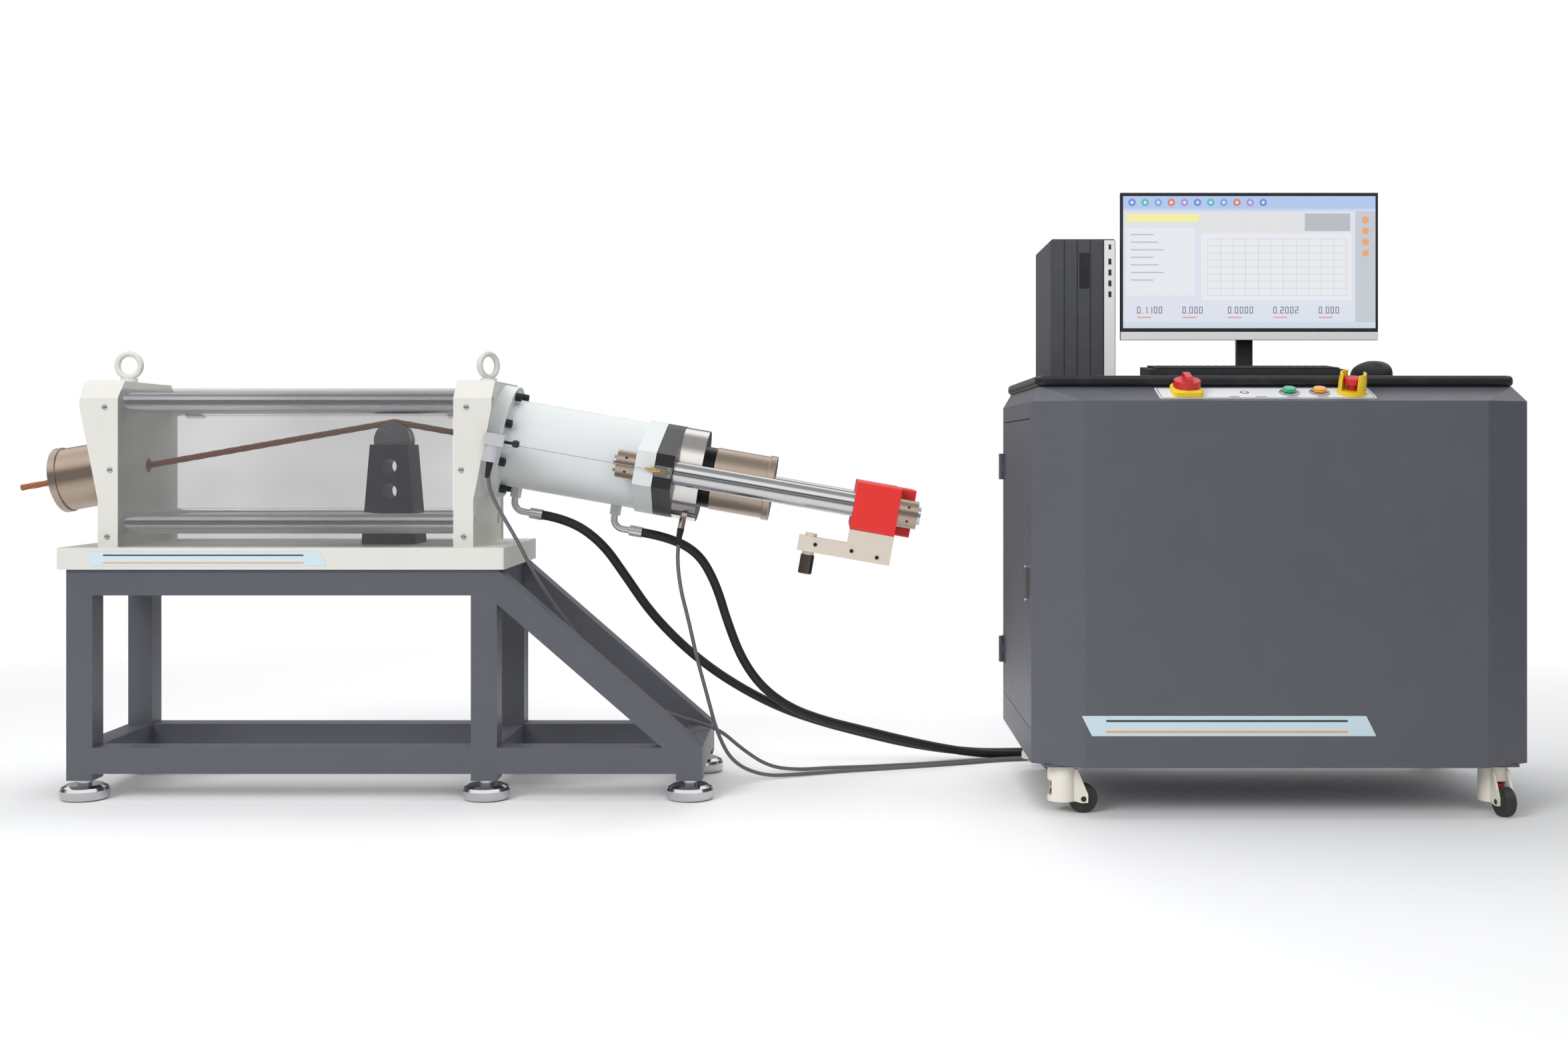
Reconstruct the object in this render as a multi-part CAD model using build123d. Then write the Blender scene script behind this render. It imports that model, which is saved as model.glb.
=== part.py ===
"""Horizontal deflected-tensile testing machine for steel strand, with its hydraulic control console.

Millimetres, +Z up, the operator stands at -Y. The origin is on the floor, in the middle of the
whole set's box. The strand runs in a plane of constant Y from the fixed anchor on the left, over
a grooved mandrel, into a hollow hydraulic cylinder on the right. Both halves of the strand slope
down from the mandrel by the same angle.
"""
from build123d import *
import math
import os

# Overall layout
AISLE = 244.07
MACHINE_Y = 55.0
SLOPE = 10.0
RUNNING_GAP = 0.3
FACE_GAP = 0.5

# Strand and mandrel
STRAND_D = 15.2
STRAND_LEFT_LENGTH = 914.0
STRAND_PAST_CUP = 6.6
MANDREL_TOP = 874.0
MANDREL_BEND_R = 44.0
MANDREL_WIDTH = 46.0
MANDREL_SEAT_DROP = 10.0
PEDESTAL_FOOT = 130.0
PEDESTAL_HEAD = 90.0
PEDESTAL_DEPTH = 110.0
PEDESTAL_HOLE_D = 38.0
PEDESTAL_HOLE_DROPS = (52.0, 112.0)

# Base plate and stand
BASE_LENGTH = 1025.0
BASE_DEPTH = 430.0
BASE_THICK = 50.0
BASE_TOP = 582.0
BASE_LEFT_OF_MANDREL = 720.0
TUBE = 60.0
TUBE_WALL = 4.0
STAND_INSET = 18.0
STAND_DEPTH = 410.0
STAND_TAIL = 471.0
RAIL_BOTTOM = 62.0
LEG_BOTTOM = 46.0
FOOT_PAD_D = 110.0
FOOT_PAD_H = 34.0
FOOT_NUT_D = 32.0

# End blocks, covers, tie bars and guard
SPAN_LEFT = 593.0
SPAN_RIGHT = 182.0
BLOCK_FOOT = 42.0
BLOCK_DEPTH = 360.0
BLOCK_TOP = 967.0
BLOCK_CHAMFER = 42.0
KINK_LEFT = 667.0
KINK_RIGHT = 694.0
STRAND_HOLE_D = 34.0
COVER_THICK = 3.0
COVER_FOOT = 46.0
COVER_HEAD = 88.0
COVER_KINK_LOW = 690.0
COVER_KINK_HIGH = 905.0
BAR_D = 50.0
BAR_SPIGOT_D = 30.0
BAR_SPIGOT_L = 30.0
BAR_Y = 140.0
BAR_LOW = 636.0
BAR_HIGH = 916.0
GUARD_THICK = 5.0
GUARD_END_GAP = 2.0
GUARD_KNUCKLE_L = 40.0
GUARD_KNUCKLE_WALL = 6.0
GUARD_KNUCKLE_INSET = 60.0
EYE_RING_D = 56.0
EYE_WIRE_D = 14.0
EYE_COLLAR_D = 40.0
EYE_COLLAR_H = 12.0
EYE_SHANK_D = 20.0
EYE_SHANK_L = 30.0
EYE_TURNS = (0.0, 55.0)

# Anchors
CUP_D = 150.0
CUP_WALL = 13.0
CUP_LIP = 3.0
CUP_LIP_L = 18.0
CUP_END_THICK = 12.0
CUP_END_HOLE_D = 60.0
PASSIVE_CUP_L = 154.0
ANCHOR_D = 96.0
ANCHOR_L = 55.0
ANCHOR_MOUTH_D = 46.0
ANCHOR_THROAT_D = 24.0
WEDGE_BORE_D = 16.4
WEDGE_PROUD = 6.0
WEDGE_SPLIT = 2.0

# Hydraulic cylinder, measured along its own axis from the seat on the right block
FLANGE_D = 270.0
FLANGE_L = 35.0
FLANGE_FLAT = 133.0
FLANGE_BOLTS = 8
FLANGE_PCD = 240.0
BOLT_HEAD_D = 20.0
BOLT_HEAD_L = 14.0
BOLT_SHANK_D = 12.0
BARREL_D = 210.0
BARREL_BORE_D = 160.0
BARREL_L = 358.0
BARREL_FLOOR = 25.0
CORE_TUBE_D = 66.0
CORE_BORE_D = 46.0
CORE_TUBE_L = 330.0
GLAND_L = 45.0
GLAND_D = 222.0
LOBE_Y = 183.0
LOBE_HALF_H = 40.0
ROD_Y = 145.0
ROD_D = 55.0
ROD_THREAD_D = 42.0
ROD_END_PROUD = 7.0
NUT_D = 65.0
NUT_L = 45.0
NUT_PIN_HOLE_D = 7.0
NUT_PIN_HOLES = 6
PISTON_ROD_D = 130.0
PISTON_HEAD_L = 60.0
PISTON_HEAD_START = 60.0
PULL_PLATE_L = 44.0
LOAD_CELL_D = 220.0
LOAD_CELL_L = 58.0
LOAD_CELL_BOLTS = 12
LOAD_CELL_PCD = 200.0
CONNECTOR_D = 16.0
CONNECTOR_L = 30.0
CONNECTOR_TURN = 15.0
ADAPTER_L = 26.0
ADAPTER_D = 146.0
ACTIVE_CUP_L = 145.0

# Swinging stop beam behind the pulled anchor
BEAM_START = 872.0
BEAM_END_L = 105.0
BEAM_MID_L = 142.0
BEAM_MID_HALF = 100.0
BEAM_HEIGHT = 112.0
BEAM_FRONT = 187.0
HANDLE_DEPTH = 40.0
HANDLE_DROP = 68.0
HANDLE_ARM_L = 112.0
HANDLE_ARM_H = 35.0
PIN_D = 27.0
PIN_PROUD = 8.0
PIN_NECK = 7.0
PIN_INSET = 27.0
SPINDLE_D = 14.0
KNOB_D = 32.0
KNOB_L = 45.0

# Draw-wire travel sensor
SENSOR_Y = 193.0
SENSOR_DEPTH = 44.0
SENSOR_START = 9.0
SENSOR_L = 47.0
SENSOR_H = 27.0
SENSOR_RISE = 5.0
SENSOR_BRACKET_L = 26.0
NOZZLE_D = 12.0
NOZZLE_L = 27.0
ENCODER_D = 40.0
ENCODER_L = 38.0
WIRE_D = 1.6

# Hydraulic ports, hoses and cables
PORT_FIRST = 67.0
PORT_LAST_INSET = 47.0
PORT_HEX_D = 26.0
PORT_HEX_L = 24.0
PORT_TUBE_D = 16.0
PORT_DROP = 54.0
PORT_REACH = 72.0
CRIMP_D = 26.0
CRIMP_L = 30.0
HOSE_D = 22.0
HOSE_FIRST_RUN = 66.0
CABLE_D = 9.0
CABLE_FIRST_RUN = 50.0
REAR_SLEEVE_RISE = 50.0
REAR_HOSE_X = (304.0, 234.0)
REAR_HOSE_OUT = (90.0, 54.0)
REAR_HOSE_Z = 166.0
REAR_CABLE_X = (178.0, 162.0)
REAR_CABLE_OUT = (34.0, 16.0)
REAR_CABLE_Z = 133.0
GLAND_BODY_D = 16.0
GLAND_BODY_L = 20.0

# Console cabinet
CABINET_WIDTH = 1100.0
CABINET_DEPTH = 700.0
CABINET_BOTTOM = 112.0
CABINET_TOP = 914.0
CHAMFER_X = 110.0
CHAMFER_Y = 65.0
SHEET = 3.0
DECK_RISE = 34.0
DECK_SLOPE_Y = 100.0
DECK_SIDE_INSET = 20.0
WORKTOP_THICK = 25.0
WORKTOP_SIDE_INSET = 13.0
WORKTOP_OVERHANG = 8.0
DOOR_FRONT_INSET = 23.0
DOOR_REAR_INSET = 28.0
DOOR_BOTTOM = 183.0
DOOR_TOP = 877.0
DOOR_GAP = 2.0
DOOR_DEPTH = 18.0
HINGE_D = 14.0
HINGE_PIN_D = 7.0
HINGE_L = 66.0
HINGE_LEAF = 26.0
HINGE_STATIONS = (80.0, 548.0)
FIT_GAP = 0.05
LATCH_L = 80.0
LATCH_W = 22.0
LATCH_THICK = 10.0
LATCH_Z = 527.0
LATCH_INSET = 34.0
VENT_COUNT = 9
VENT_PITCH = 26.0
VENT_L = 300.0
VENT_H = 8.0

# Controls on the sloped panel, measured from the cabinet's left side
PLATE_START = 276.0
PLATE_L = 476.0
PLATE_W = 78.0
PLATE_THICK = 1.5
SWITCH_X = 341.0
SWITCH_BASE = 66.0
SWITCH_BASE_H = 14.0
SWITCH_KNOB_D = 60.0
SWITCH_KNOB_H = 16.0
SWITCH_GRIP_W = 15.0
SWITCH_GRIP_H = 12.0
LAMP_X = (568.0, 635.0)
LAMP_D = 29.0
LAMP_H = 13.0
BUTTON_TRAVEL = 4.0
ESTOP_X = 706.0
ESTOP_GUARD_D = 60.0
ESTOP_GUARD_WALL = 6.0
ESTOP_GUARD_H = 46.0
ESTOP_GUARD_BASE = 8.0
ESTOP_SLOT = 34.0
ESTOP_HEAD_D = 40.0
ESTOP_HEAD_H = 14.0
ESTOP_HEAD_START = 22.0
ESTOP_STEM_D = 22.0

# Casters
CASTER_INSET_X = 70.0
CASTER_FRONT_INSET = 82.0
CASTER_REAR_INSET = 88.0
CASTER_TRAIL = 46.0
CASTER_PLATE = 90.0
CASTER_PLATE_H = 5.0
CASTER_COLUMN_D = 64.0
CASTER_FLOOR_GAP = 27.0
CASTER_CHEEK = 6.0
CASTER_WINDOW_H = 32.0
CASTER_WINDOW_RISE = 14.0
WHEEL_D = 64.0
WHEEL_W = 27.0
AXLE_D = 12.0

# Desk equipment, measured from the cabinet's left side and the worktop's front edge
TOWER_X = 80.0
TOWER_INSET = 268.0
TOWER_SIZE = (155.0, 303.0, 337.0)
TOWER_FOOT_H = 3.0
TOWER_BEZEL = 22.0
MONITOR_X = 550.0
MONITOR_INSET = 250.0
MONITOR_SIZE = (612.0, 350.0)
MONITOR_RISE = 95.0
MONITOR_BULGE = 22.0
MONITOR_NECK_W = 38.0
MONITOR_NECK_D = 16.0
MONITOR_BASE = (220.0, 170.0, 12.0)
MONITOR_PIVOT_D = 18.0
MONITOR_PIVOT_GAP = 10.0
MONITOR_PIVOT_RISE = 157.0
MONITOR_PANEL = 12.0
MONITOR_LUG_GAP = 1.0
MONITOR_SWELL_SIDE = 60.0
MONITOR_SWELL_LOW = 40.0
MONITOR_SWELL_HIGH = 70.0
MONITOR_FOOT_FORWARD = 0.55
MONITOR_FOOT_CORNER = 30.0
KEYBOARD_X = 497.0
KEYBOARD_INSET = 32.0
KEYBOARD_SIZE = (446.0, 132.0)
KEYBOARD_FRONT_H = 14.0
KEYBOARD_BACK_H = 26.0
KEY_PITCH = 19.0
KEY_TOP = 15.5
KEY_H = 5.0
KEY_ROWS = 6
KEY_COLUMNS = 22
MOUSE_X = 796.0
MOUSE_INSET = 108.0
MOUSE_SIZE = (66.0, 110.0, 38.0)
MOUSE_TURN = 28.0

# Hydraulic power pack inside the cabinet
TANK_SIZE = (620.0, 380.0, 300.0)
TANK_X = 600.0
TANK_Y = 60.0
MOTOR_D = 190.0
MOTOR_L = 260.0
VALVE_SIZE = (150.0, 120.0, 110.0)

SIN = math.sin(math.radians(SLOPE))
COS = math.cos(math.radians(SLOPE))
TAN = SIN / COS

# Places worked out from the driving dimensions
LEFT_SEAT_DISTANCE = (SPAN_LEFT + BLOCK_FOOT) * COS + (MANDREL_TOP - KINK_LEFT) * SIN
RIGHT_SEAT_DISTANCE = (SPAN_RIGHT + BLOCK_FOOT) * COS + (MANDREL_TOP - KINK_RIGHT) * SIN
NUT_RIGHT = BEAM_START + BEAM_END_L
STRAND_REACH = STRAND_LEFT_LENGTH * COS + STRAND_D / 2 * SIN
ROD_REACH = (RIGHT_SEAT_DISTANCE + NUT_RIGHT + NUT_L) * COS
OVERALL_LENGTH = STRAND_REACH + ROD_REACH + AISLE + CABINET_WIDTH
MANDREL_X = STRAND_REACH - OVERALL_LENGTH / 2
LEFT_FACE = MANDREL_X - SPAN_LEFT
RIGHT_FACE = MANDREL_X + SPAN_RIGHT
BASE_LEFT = MANDREL_X - BASE_LEFT_OF_MANDREL
BASE_RIGHT = BASE_LEFT + BASE_LENGTH
STAND_TOP = BASE_TOP - BASE_THICK
STAND_LEFT = BASE_LEFT + STAND_INSET
STAND_MID = BASE_RIGHT - STAND_INSET
STAND_RIGHT = STAND_MID + STAND_TAIL
APEX = Vector(MANDREL_X, MACHINE_Y, MANDREL_TOP)
MANDREL_CENTRE_Z = MANDREL_TOP - MANDREL_BEND_R / COS
PEDESTAL_TOP = MANDREL_CENTRE_Z - MANDREL_SEAT_DROP

LEFT_AXIS = Vector(-COS, 0, -SIN)
RIGHT_AXIS = Vector(COS, 0, -SIN)
LEFT_SEAT = Plane(APEX + LEFT_AXIS * LEFT_SEAT_DISTANCE, x_dir=(-SIN, 0, COS), z_dir=LEFT_AXIS)
RIGHT_SEAT = Plane(APEX + RIGHT_AXIS * RIGHT_SEAT_DISTANCE, x_dir=(SIN, 0, COS), z_dir=RIGHT_AXIS)

PORT_STATIONS = (PORT_FIRST, BARREL_L - PORT_LAST_INSET)
GLAND_END = BARREL_L + GLAND_L
PULL_START = GLAND_END + FACE_GAP
CELL_START = PULL_START + PULL_PLATE_L
ADAPTER_START = CELL_START + LOAD_CELL_L
CUP_START = ADAPTER_START + ADAPTER_L
STRAND_RIGHT_LENGTH = RIGHT_SEAT_DISTANCE + CUP_START + STRAND_PAST_CUP

CABINET_RIGHT = OVERALL_LENGTH / 2
CABINET_LEFT = CABINET_RIGHT - CABINET_WIDTH
CABINET_FRONT = -CABINET_DEPTH / 2
CABINET_REAR = CABINET_DEPTH / 2
DECK_TOP = CABINET_TOP + DECK_RISE
DECK_FRONT = CABINET_FRONT + DECK_SLOPE_Y
WORKTOP_FRONT = DECK_FRONT - WORKTOP_OVERHANG
WORKTOP_TOP = DECK_TOP + WORKTOP_THICK
MONITOR_BOTTOM = WORKTOP_TOP + MONITOR_RISE
MONITOR_PIVOT_Z = MONITOR_BOTTOM + MONITOR_PIVOT_RISE
PANEL_NORMAL = Vector(0, -DECK_RISE, DECK_SLOPE_Y).normalized()

nodes = {}


def keep(name, *solids):
    """Store one piece, or a group of equal pieces, under its node name."""
    nodes[name] = solids[0] if len(solids) == 1 else Compound(children=list(solids))


def block(x0, x1, y0, y1, z0, z1):
    """A box between two corners."""
    return Pos((x0 + x1) / 2, (y0 + y1) / 2, (z0 + z1) / 2) * Box(x1 - x0, y1 - y0, z1 - z0)


def disc(diameter, z0, z1):
    """A cylinder on the local Z axis."""
    return Pos(0, 0, (z0 + z1) / 2) * Cylinder(diameter / 2, z1 - z0)


def ring(outer, inner, z0, z1):
    """A tube on the local Z axis."""
    return disc(outer, z0, z1) - disc(inner, z0, z1)


def turned(points):
    """A solid of revolution from (radius, height) points."""
    return revolve(Plane.XZ * make_face(Polyline(*points, close=True)), Axis.Z)


def slab_xz(points, y0, y1):
    """An outline in X and Z, extruded from y0 to y1."""
    face = make_face(Polyline(*[(x, 0, z) for x, z in points], close=True))
    return Pos(0, y0, 0) * extrude(face, y1 - y0, dir=(0, 1, 0))


def rail_x(x0, x1, y, z0):
    """A hollow square tube along X, centred on y, resting on z0."""
    inside = TUBE - 2 * TUBE_WALL
    tube = Box(x1 - x0, TUBE, TUBE) - Box(x1 - x0, inside, inside)
    return Pos((x0 + x1) / 2, y, z0 + TUBE / 2) * tube


def rail_y(x0, y0, y1, z0):
    """A hollow square tube along Y, starting at x0, resting on z0."""
    inside = TUBE - 2 * TUBE_WALL
    tube = Box(TUBE, y1 - y0, TUBE) - Box(inside, y1 - y0, inside)
    return Pos(x0 + TUBE / 2, (y0 + y1) / 2, z0 + TUBE / 2) * tube


def leg_z(x0, y, z0, z1):
    """A hollow square tube along Z, closed at its foot."""
    inside = TUBE - 2 * TUBE_WALL
    tube = block(0, TUBE, -TUBE / 2, TUBE / 2, z0, z1)
    hollow = block(TUBE_WALL, TUBE - TUBE_WALL, -inside / 2, inside / 2, z0 + TUBE_WALL, z1)
    return Pos(x0, y, 0) * (tube - hollow)


def brace(y):
    """The sloping tube from the stand's top corner down to the end of its bottom rail."""
    rail_top = RAIL_BOTTOM + TUBE
    rise = STAND_TOP - rail_top
    run = STAND_RIGHT - STAND_MID
    length = math.hypot(rise, run)
    drop = TUBE * length / run
    shift = TUBE * length / rise
    outline = [(STAND_MID, STAND_TOP), (STAND_RIGHT, rail_top), (STAND_RIGHT - shift, rail_top)]
    outline.append((STAND_MID, STAND_TOP - drop))
    wall_x = TUBE_WALL * length / rise
    wall_z = TUBE_WALL * length / run
    hollow = [(STAND_MID, STAND_TOP - wall_z), (STAND_RIGHT - wall_x, rail_top)]
    hollow += [(STAND_RIGHT - shift + wall_x, rail_top), (STAND_MID, STAND_TOP - drop + wall_z)]
    half = TUBE / 2
    inside = half - TUBE_WALL
    return slab_xz(outline, y - half, y + half) - slab_xz(hollow, y - inside, y + inside)


def make_stand():
    """Welded stand of square tubes on six levelling feet."""
    half = STAND_DEPTH / 2
    rows = (MACHINE_Y - half + TUBE / 2, MACHINE_Y + half - TUBE / 2)
    mid_leg = STAND_MID - TUBE
    end_leg = STAND_RIGHT - TUBE
    top_rail = STAND_TOP - TUBE
    members = []
    for y in rows:
        members += [leg_z(x, y, LEG_BOTTOM, STAND_TOP) for x in (STAND_LEFT, mid_leg)]
        members.append(leg_z(end_leg, y, LEG_BOTTOM, RAIL_BOTTOM + TUBE))
        members.append(rail_x(STAND_LEFT + TUBE, mid_leg, y, top_rail))
        members.append(rail_x(STAND_LEFT + TUBE, mid_leg, y, RAIL_BOTTOM))
        members.append(rail_x(STAND_MID, end_leg, y, RAIL_BOTTOM))
        members.append(brace(y))
    inner = (rows[0] + TUBE / 2, rows[1] - TUBE / 2)
    for x in (STAND_LEFT, mid_leg):
        members += [rail_y(x, *inner, z) for z in (RAIL_BOTTOM, top_rail)]
    members.append(rail_y(end_leg, *inner, RAIL_BOTTOM))
    keep("stand_frame", *members)

    feet = []
    r = FOOT_PAD_D / 2
    neck = FOOT_NUT_D / 2
    shape = [(0, 0), (r - 8, 0), (r - 2, 3), (r, 9), (r, FOOT_PAD_H - 12), (r - 4, FOOT_PAD_H - 5)]
    shape += [(r - 14, FOOT_PAD_H), (neck, FOOT_PAD_H), (neck, LEG_BOTTOM), (0, LEG_BOTTOM)]
    for x in (STAND_LEFT, mid_leg, end_leg):
        feet += [Pos(x + TUBE / 2, y, 0) * turned(shape) for y in rows]
    keep("levelling_feet", *feet)

    plate = block(BASE_LEFT, BASE_RIGHT, -BASE_DEPTH / 2, BASE_DEPTH / 2, STAND_TOP, BASE_TOP)
    plate = Pos(0, MACHINE_Y, 0) * plate
    keep("base_plate", fillet(plate.edges().filter_by(Axis.Z), 4))


def end_block(side, face, kink, seat):
    """Heavy upright with a sloped outer seat; side is -1 for the left block and +1 for the right."""
    head = BLOCK_FOOT + (BLOCK_TOP - kink) * TAN
    outline = [(0, BASE_TOP), (BLOCK_FOOT, BASE_TOP), (BLOCK_FOOT, kink), (head, BLOCK_TOP)]
    outline.append((0, BLOCK_TOP))
    half = BLOCK_DEPTH / 2
    body = slab_xz([(face + side * x, z) for x, z in outline], MACHINE_Y - half, MACHINE_Y + half)
    top = body.edges().filter_by(Axis.X).group_by(Axis.Z)[-1]
    body = chamfer(top, BLOCK_CHAMFER)
    body -= seat.location * disc(STRAND_HOLE_D, -3 * BLOCK_FOOT, BLOCK_FOOT)
    for y in (-BAR_Y, BAR_Y):
        for z in (BAR_LOW, BAR_HIGH):
            hole = Cylinder(BAR_SPIGOT_D / 2, 3 * head)
            body -= Pos(face, MACHINE_Y + y, z) * Rot(0, 90, 0) * hole
    eye_x = face + side * head / 2
    body -= Pos(eye_x, MACHINE_Y, 0) * disc(EYE_SHANK_D, BLOCK_TOP - EYE_SHANK_L, BLOCK_TOP)
    return body, eye_x


def cover(side, face, mirror_y):
    """Folded sheet over one narrow side of an end block, bent back over the block's chamfer."""
    shoulder = BLOCK_TOP - BLOCK_CHAMFER
    outline = [(0, BASE_TOP), (COVER_FOOT, BASE_TOP), (COVER_FOOT, COVER_KINK_LOW)]
    outline += [(COVER_HEAD, COVER_KINK_HIGH), (COVER_HEAD, shoulder), (0, shoulder)]
    half = BLOCK_DEPTH / 2
    front = slab_xz([(side * x, z) for x, z in outline], -half - COVER_THICK, -half)
    bend = COVER_THICK * math.sqrt(0.5)
    corner = COVER_THICK * (math.sqrt(2) - 1)
    outer = -half - COVER_THICK
    fold = [(outer, shoulder), (-half, shoulder), (-half + BLOCK_CHAMFER, BLOCK_TOP)]
    fold += [(-half + BLOCK_CHAMFER - bend, BLOCK_TOP + bend), (outer, shoulder + corner)]
    face_yz = make_face(Polyline(*[(0, y, z) for y, z in fold], close=True))
    facet = extrude(face_yz, COVER_HEAD, dir=(side, 0, 0))
    sheet = front + facet
    if mirror_y:
        sheet = mirror(sheet, Plane.XZ)
    return Pos(face, MACHINE_Y, 0) * sheet


def make_load_frame():
    """End blocks, covers, tie bars, lifting eyes and the clear guard between the blocks."""
    left, left_eye = end_block(-1, LEFT_FACE, KINK_LEFT, LEFT_SEAT)
    right, right_eye = end_block(1, RIGHT_FACE, KINK_RIGHT, RIGHT_SEAT)
    for station in flange_bolt_places():
        right -= RIGHT_SEAT.location * station * disc(BOLT_SHANK_D, -BLOCK_FOOT / 2, BLOCK_FOOT)
    keep("passive_block", left)
    keep("active_block", right)
    sides = ((-1, LEFT_FACE), (1, RIGHT_FACE))
    keep("end_covers", *[cover(s, face, back) for s, face in sides for back in (False, True)])

    bars = []
    span = RIGHT_FACE - LEFT_FACE
    middle = (RIGHT_FACE + LEFT_FACE) / 2
    for y in (-BAR_Y, BAR_Y):
        for z in (BAR_LOW, BAR_HIGH):
            bar = Cylinder(BAR_D / 2, span) + Cylinder(BAR_SPIGOT_D / 2, span + 2 * BAR_SPIGOT_L)
            bars.append(Pos(middle, MACHINE_Y + y, z) * Rot(0, 90, 0) * bar)
    keep("tie_bars", *bars)

    eyes = []
    ring_z = BLOCK_TOP + EYE_COLLAR_H + EYE_RING_D / 2 + EYE_WIRE_D / 4
    for x, turn in zip((left_eye, right_eye), EYE_TURNS):
        loop = Pos(0, 0, ring_z) * Rot(0, 0, turn) * Rot(90, 0, 0) * Torus(EYE_RING_D / 2, EYE_WIRE_D / 2)
        collar = disc(EYE_COLLAR_D, BLOCK_TOP, BLOCK_TOP + EYE_COLLAR_H)
        shank = disc(EYE_SHANK_D, BLOCK_TOP - EYE_SHANK_L, BLOCK_TOP)
        eyes.append(Pos(x, MACHINE_Y, 0) * (loop + collar + shank))
    keep("lifting_eyes", *eyes)
    make_guard(span, middle)


def make_guard(span, middle):
    """Bent clear sheet in front of and over the tie bars, turning on the rear top bar."""
    x0 = middle - span / 2 + GUARD_END_GAP
    x1 = middle + span / 2 - GUARD_END_GAP
    front = -BLOCK_DEPTH / 2
    bore = BAR_D / 2 + RUNNING_GAP
    knuckle_r = bore + GUARD_KNUCKLE_WALL
    roof = BAR_HIGH + knuckle_r
    low = BASE_TOP + GUARD_END_GAP
    bend = 6 * GUARD_THICK
    path = FilletPolyline((0, front, low), (0, front, roof), (0, BAR_Y, roof), radius=bend)
    profile = Plane((0, front, low), x_dir=(1, 0, 0), z_dir=(0, 0, 1)) * Rectangle(x1 - x0, GUARD_THICK)
    sheet = sweep(profile, path=path)
    sheet = Pos((x0 + x1) / 2, 0, 0) * sheet
    for x in (x0 + GUARD_KNUCKLE_INSET, x1 - GUARD_KNUCKLE_INSET):
        turn = Pos(x, BAR_Y, BAR_HIGH) * Rot(0, 90, 0)
        sheet += turn * Cylinder(knuckle_r, GUARD_KNUCKLE_L)
        sheet -= turn * Cylinder(bore, 2 * GUARD_KNUCKLE_L)
    keep("clear_guard", Pos(0, MACHINE_Y, 0) * sheet)


def make_mandrel():
    """Pedestal with two holes, the grooved mandrel on it, and the strand bent over the mandrel."""
    foot = PEDESTAL_FOOT / 2
    head = PEDESTAL_HEAD / 2
    outline = [(-foot, BASE_TOP), (foot, BASE_TOP), (head, PEDESTAL_TOP), (-head, PEDESTAL_TOP)]
    pedestal = slab_xz(outline, -PEDESTAL_DEPTH / 2, PEDESTAL_DEPTH / 2)
    for drop in PEDESTAL_HOLE_DROPS:
        hole = Rot(90, 0, 0) * Cylinder(PEDESTAL_HOLE_D / 2, 2 * PEDESTAL_DEPTH)
        pedestal -= Pos(0, 0, PEDESTAL_TOP - drop) * hole
    keep("mandrel_pedestal", Pos(MANDREL_X, MACHINE_Y, 0) * pedestal)

    rim = MANDREL_BEND_R
    wheel = Rot(90, 0, 0) * Cylinder(rim, MANDREL_WIDTH)
    groove = Rot(90, 0, 0) * Torus(MANDREL_BEND_R, STRAND_D / 2 + RUNNING_GAP)
    below = block(-rim, rim, -MANDREL_WIDTH, MANDREL_WIDTH, -2 * rim, -MANDREL_SEAT_DROP)
    keep("mandrel", Pos(MANDREL_X, MACHINE_Y, MANDREL_CENTRE_Z) * (wheel - groove - below))

    start = APEX + LEFT_AXIS * STRAND_LEFT_LENGTH
    end = APEX + RIGHT_AXIS * STRAND_RIGHT_LENGTH
    path = FilletPolyline(start, APEX, end, radius=MANDREL_BEND_R)
    keep("strand", sweep(Plane(start, z_dir=-LEFT_AXIS) * Circle(STRAND_D / 2), path=path))


def anchor_cup(length):
    """Round housing with a rolled lip, open at its seat end."""
    inner = CUP_D - 2 * CUP_WALL
    cup = ring(CUP_D, inner, 0, length - CUP_END_THICK)
    cup += ring(CUP_D, CUP_END_HOLE_D, length - CUP_END_THICK, length)
    lip = ring(CUP_D + 2 * CUP_LIP, CUP_D - CUP_WALL, length - CUP_LIP_L, length)
    return cup + fillet(lip.edges().filter_by(GeomType.CIRCLE).group_by(SortBy.RADIUS)[-1], 2)


def anchor_set():
    """Barrel with a tapered bore and three wedges that close on the strand."""
    throat = ANCHOR_THROAT_D / 2
    mouth = ANCHOR_MOUTH_D / 2
    outer = ANCHOR_D / 2
    barrel = turned([(throat, 0), (outer, 0), (outer, ANCHOR_L), (mouth, ANCHOR_L)])
    bore = WEDGE_BORE_D / 2
    tip = ANCHOR_L + WEDGE_PROUD
    cone = turned([(bore, 0), (throat, 0), (mouth, ANCHOR_L), (mouth, tip), (bore, tip)])
    for i in range(3):
        slot = block(0, outer, -WEDGE_SPLIT / 2, WEDGE_SPLIT / 2, -1, tip + 1)
        cone -= Rot(0, 0, 120 * i) * slot
    return [barrel] + list(cone.solids())


def make_passive_anchor():
    """Fixed anchor on the left block."""
    keep("passive_cup", LEFT_SEAT.location * anchor_cup(PASSIVE_CUP_L))
    keep("passive_anchor", *[LEFT_SEAT.location * solid for solid in anchor_set()])


def flange_bolt_places():
    """Bolt stations round the cylinder's flange, in the seat's own axes."""
    pitch = 360 / FLANGE_BOLTS
    turns = [pitch * (i + 0.5) for i in range(FLANGE_BOLTS)]
    return [Rot(0, 0, a) * Pos(FLANGE_PCD / 2, 0, 0) for a in turns]


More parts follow.
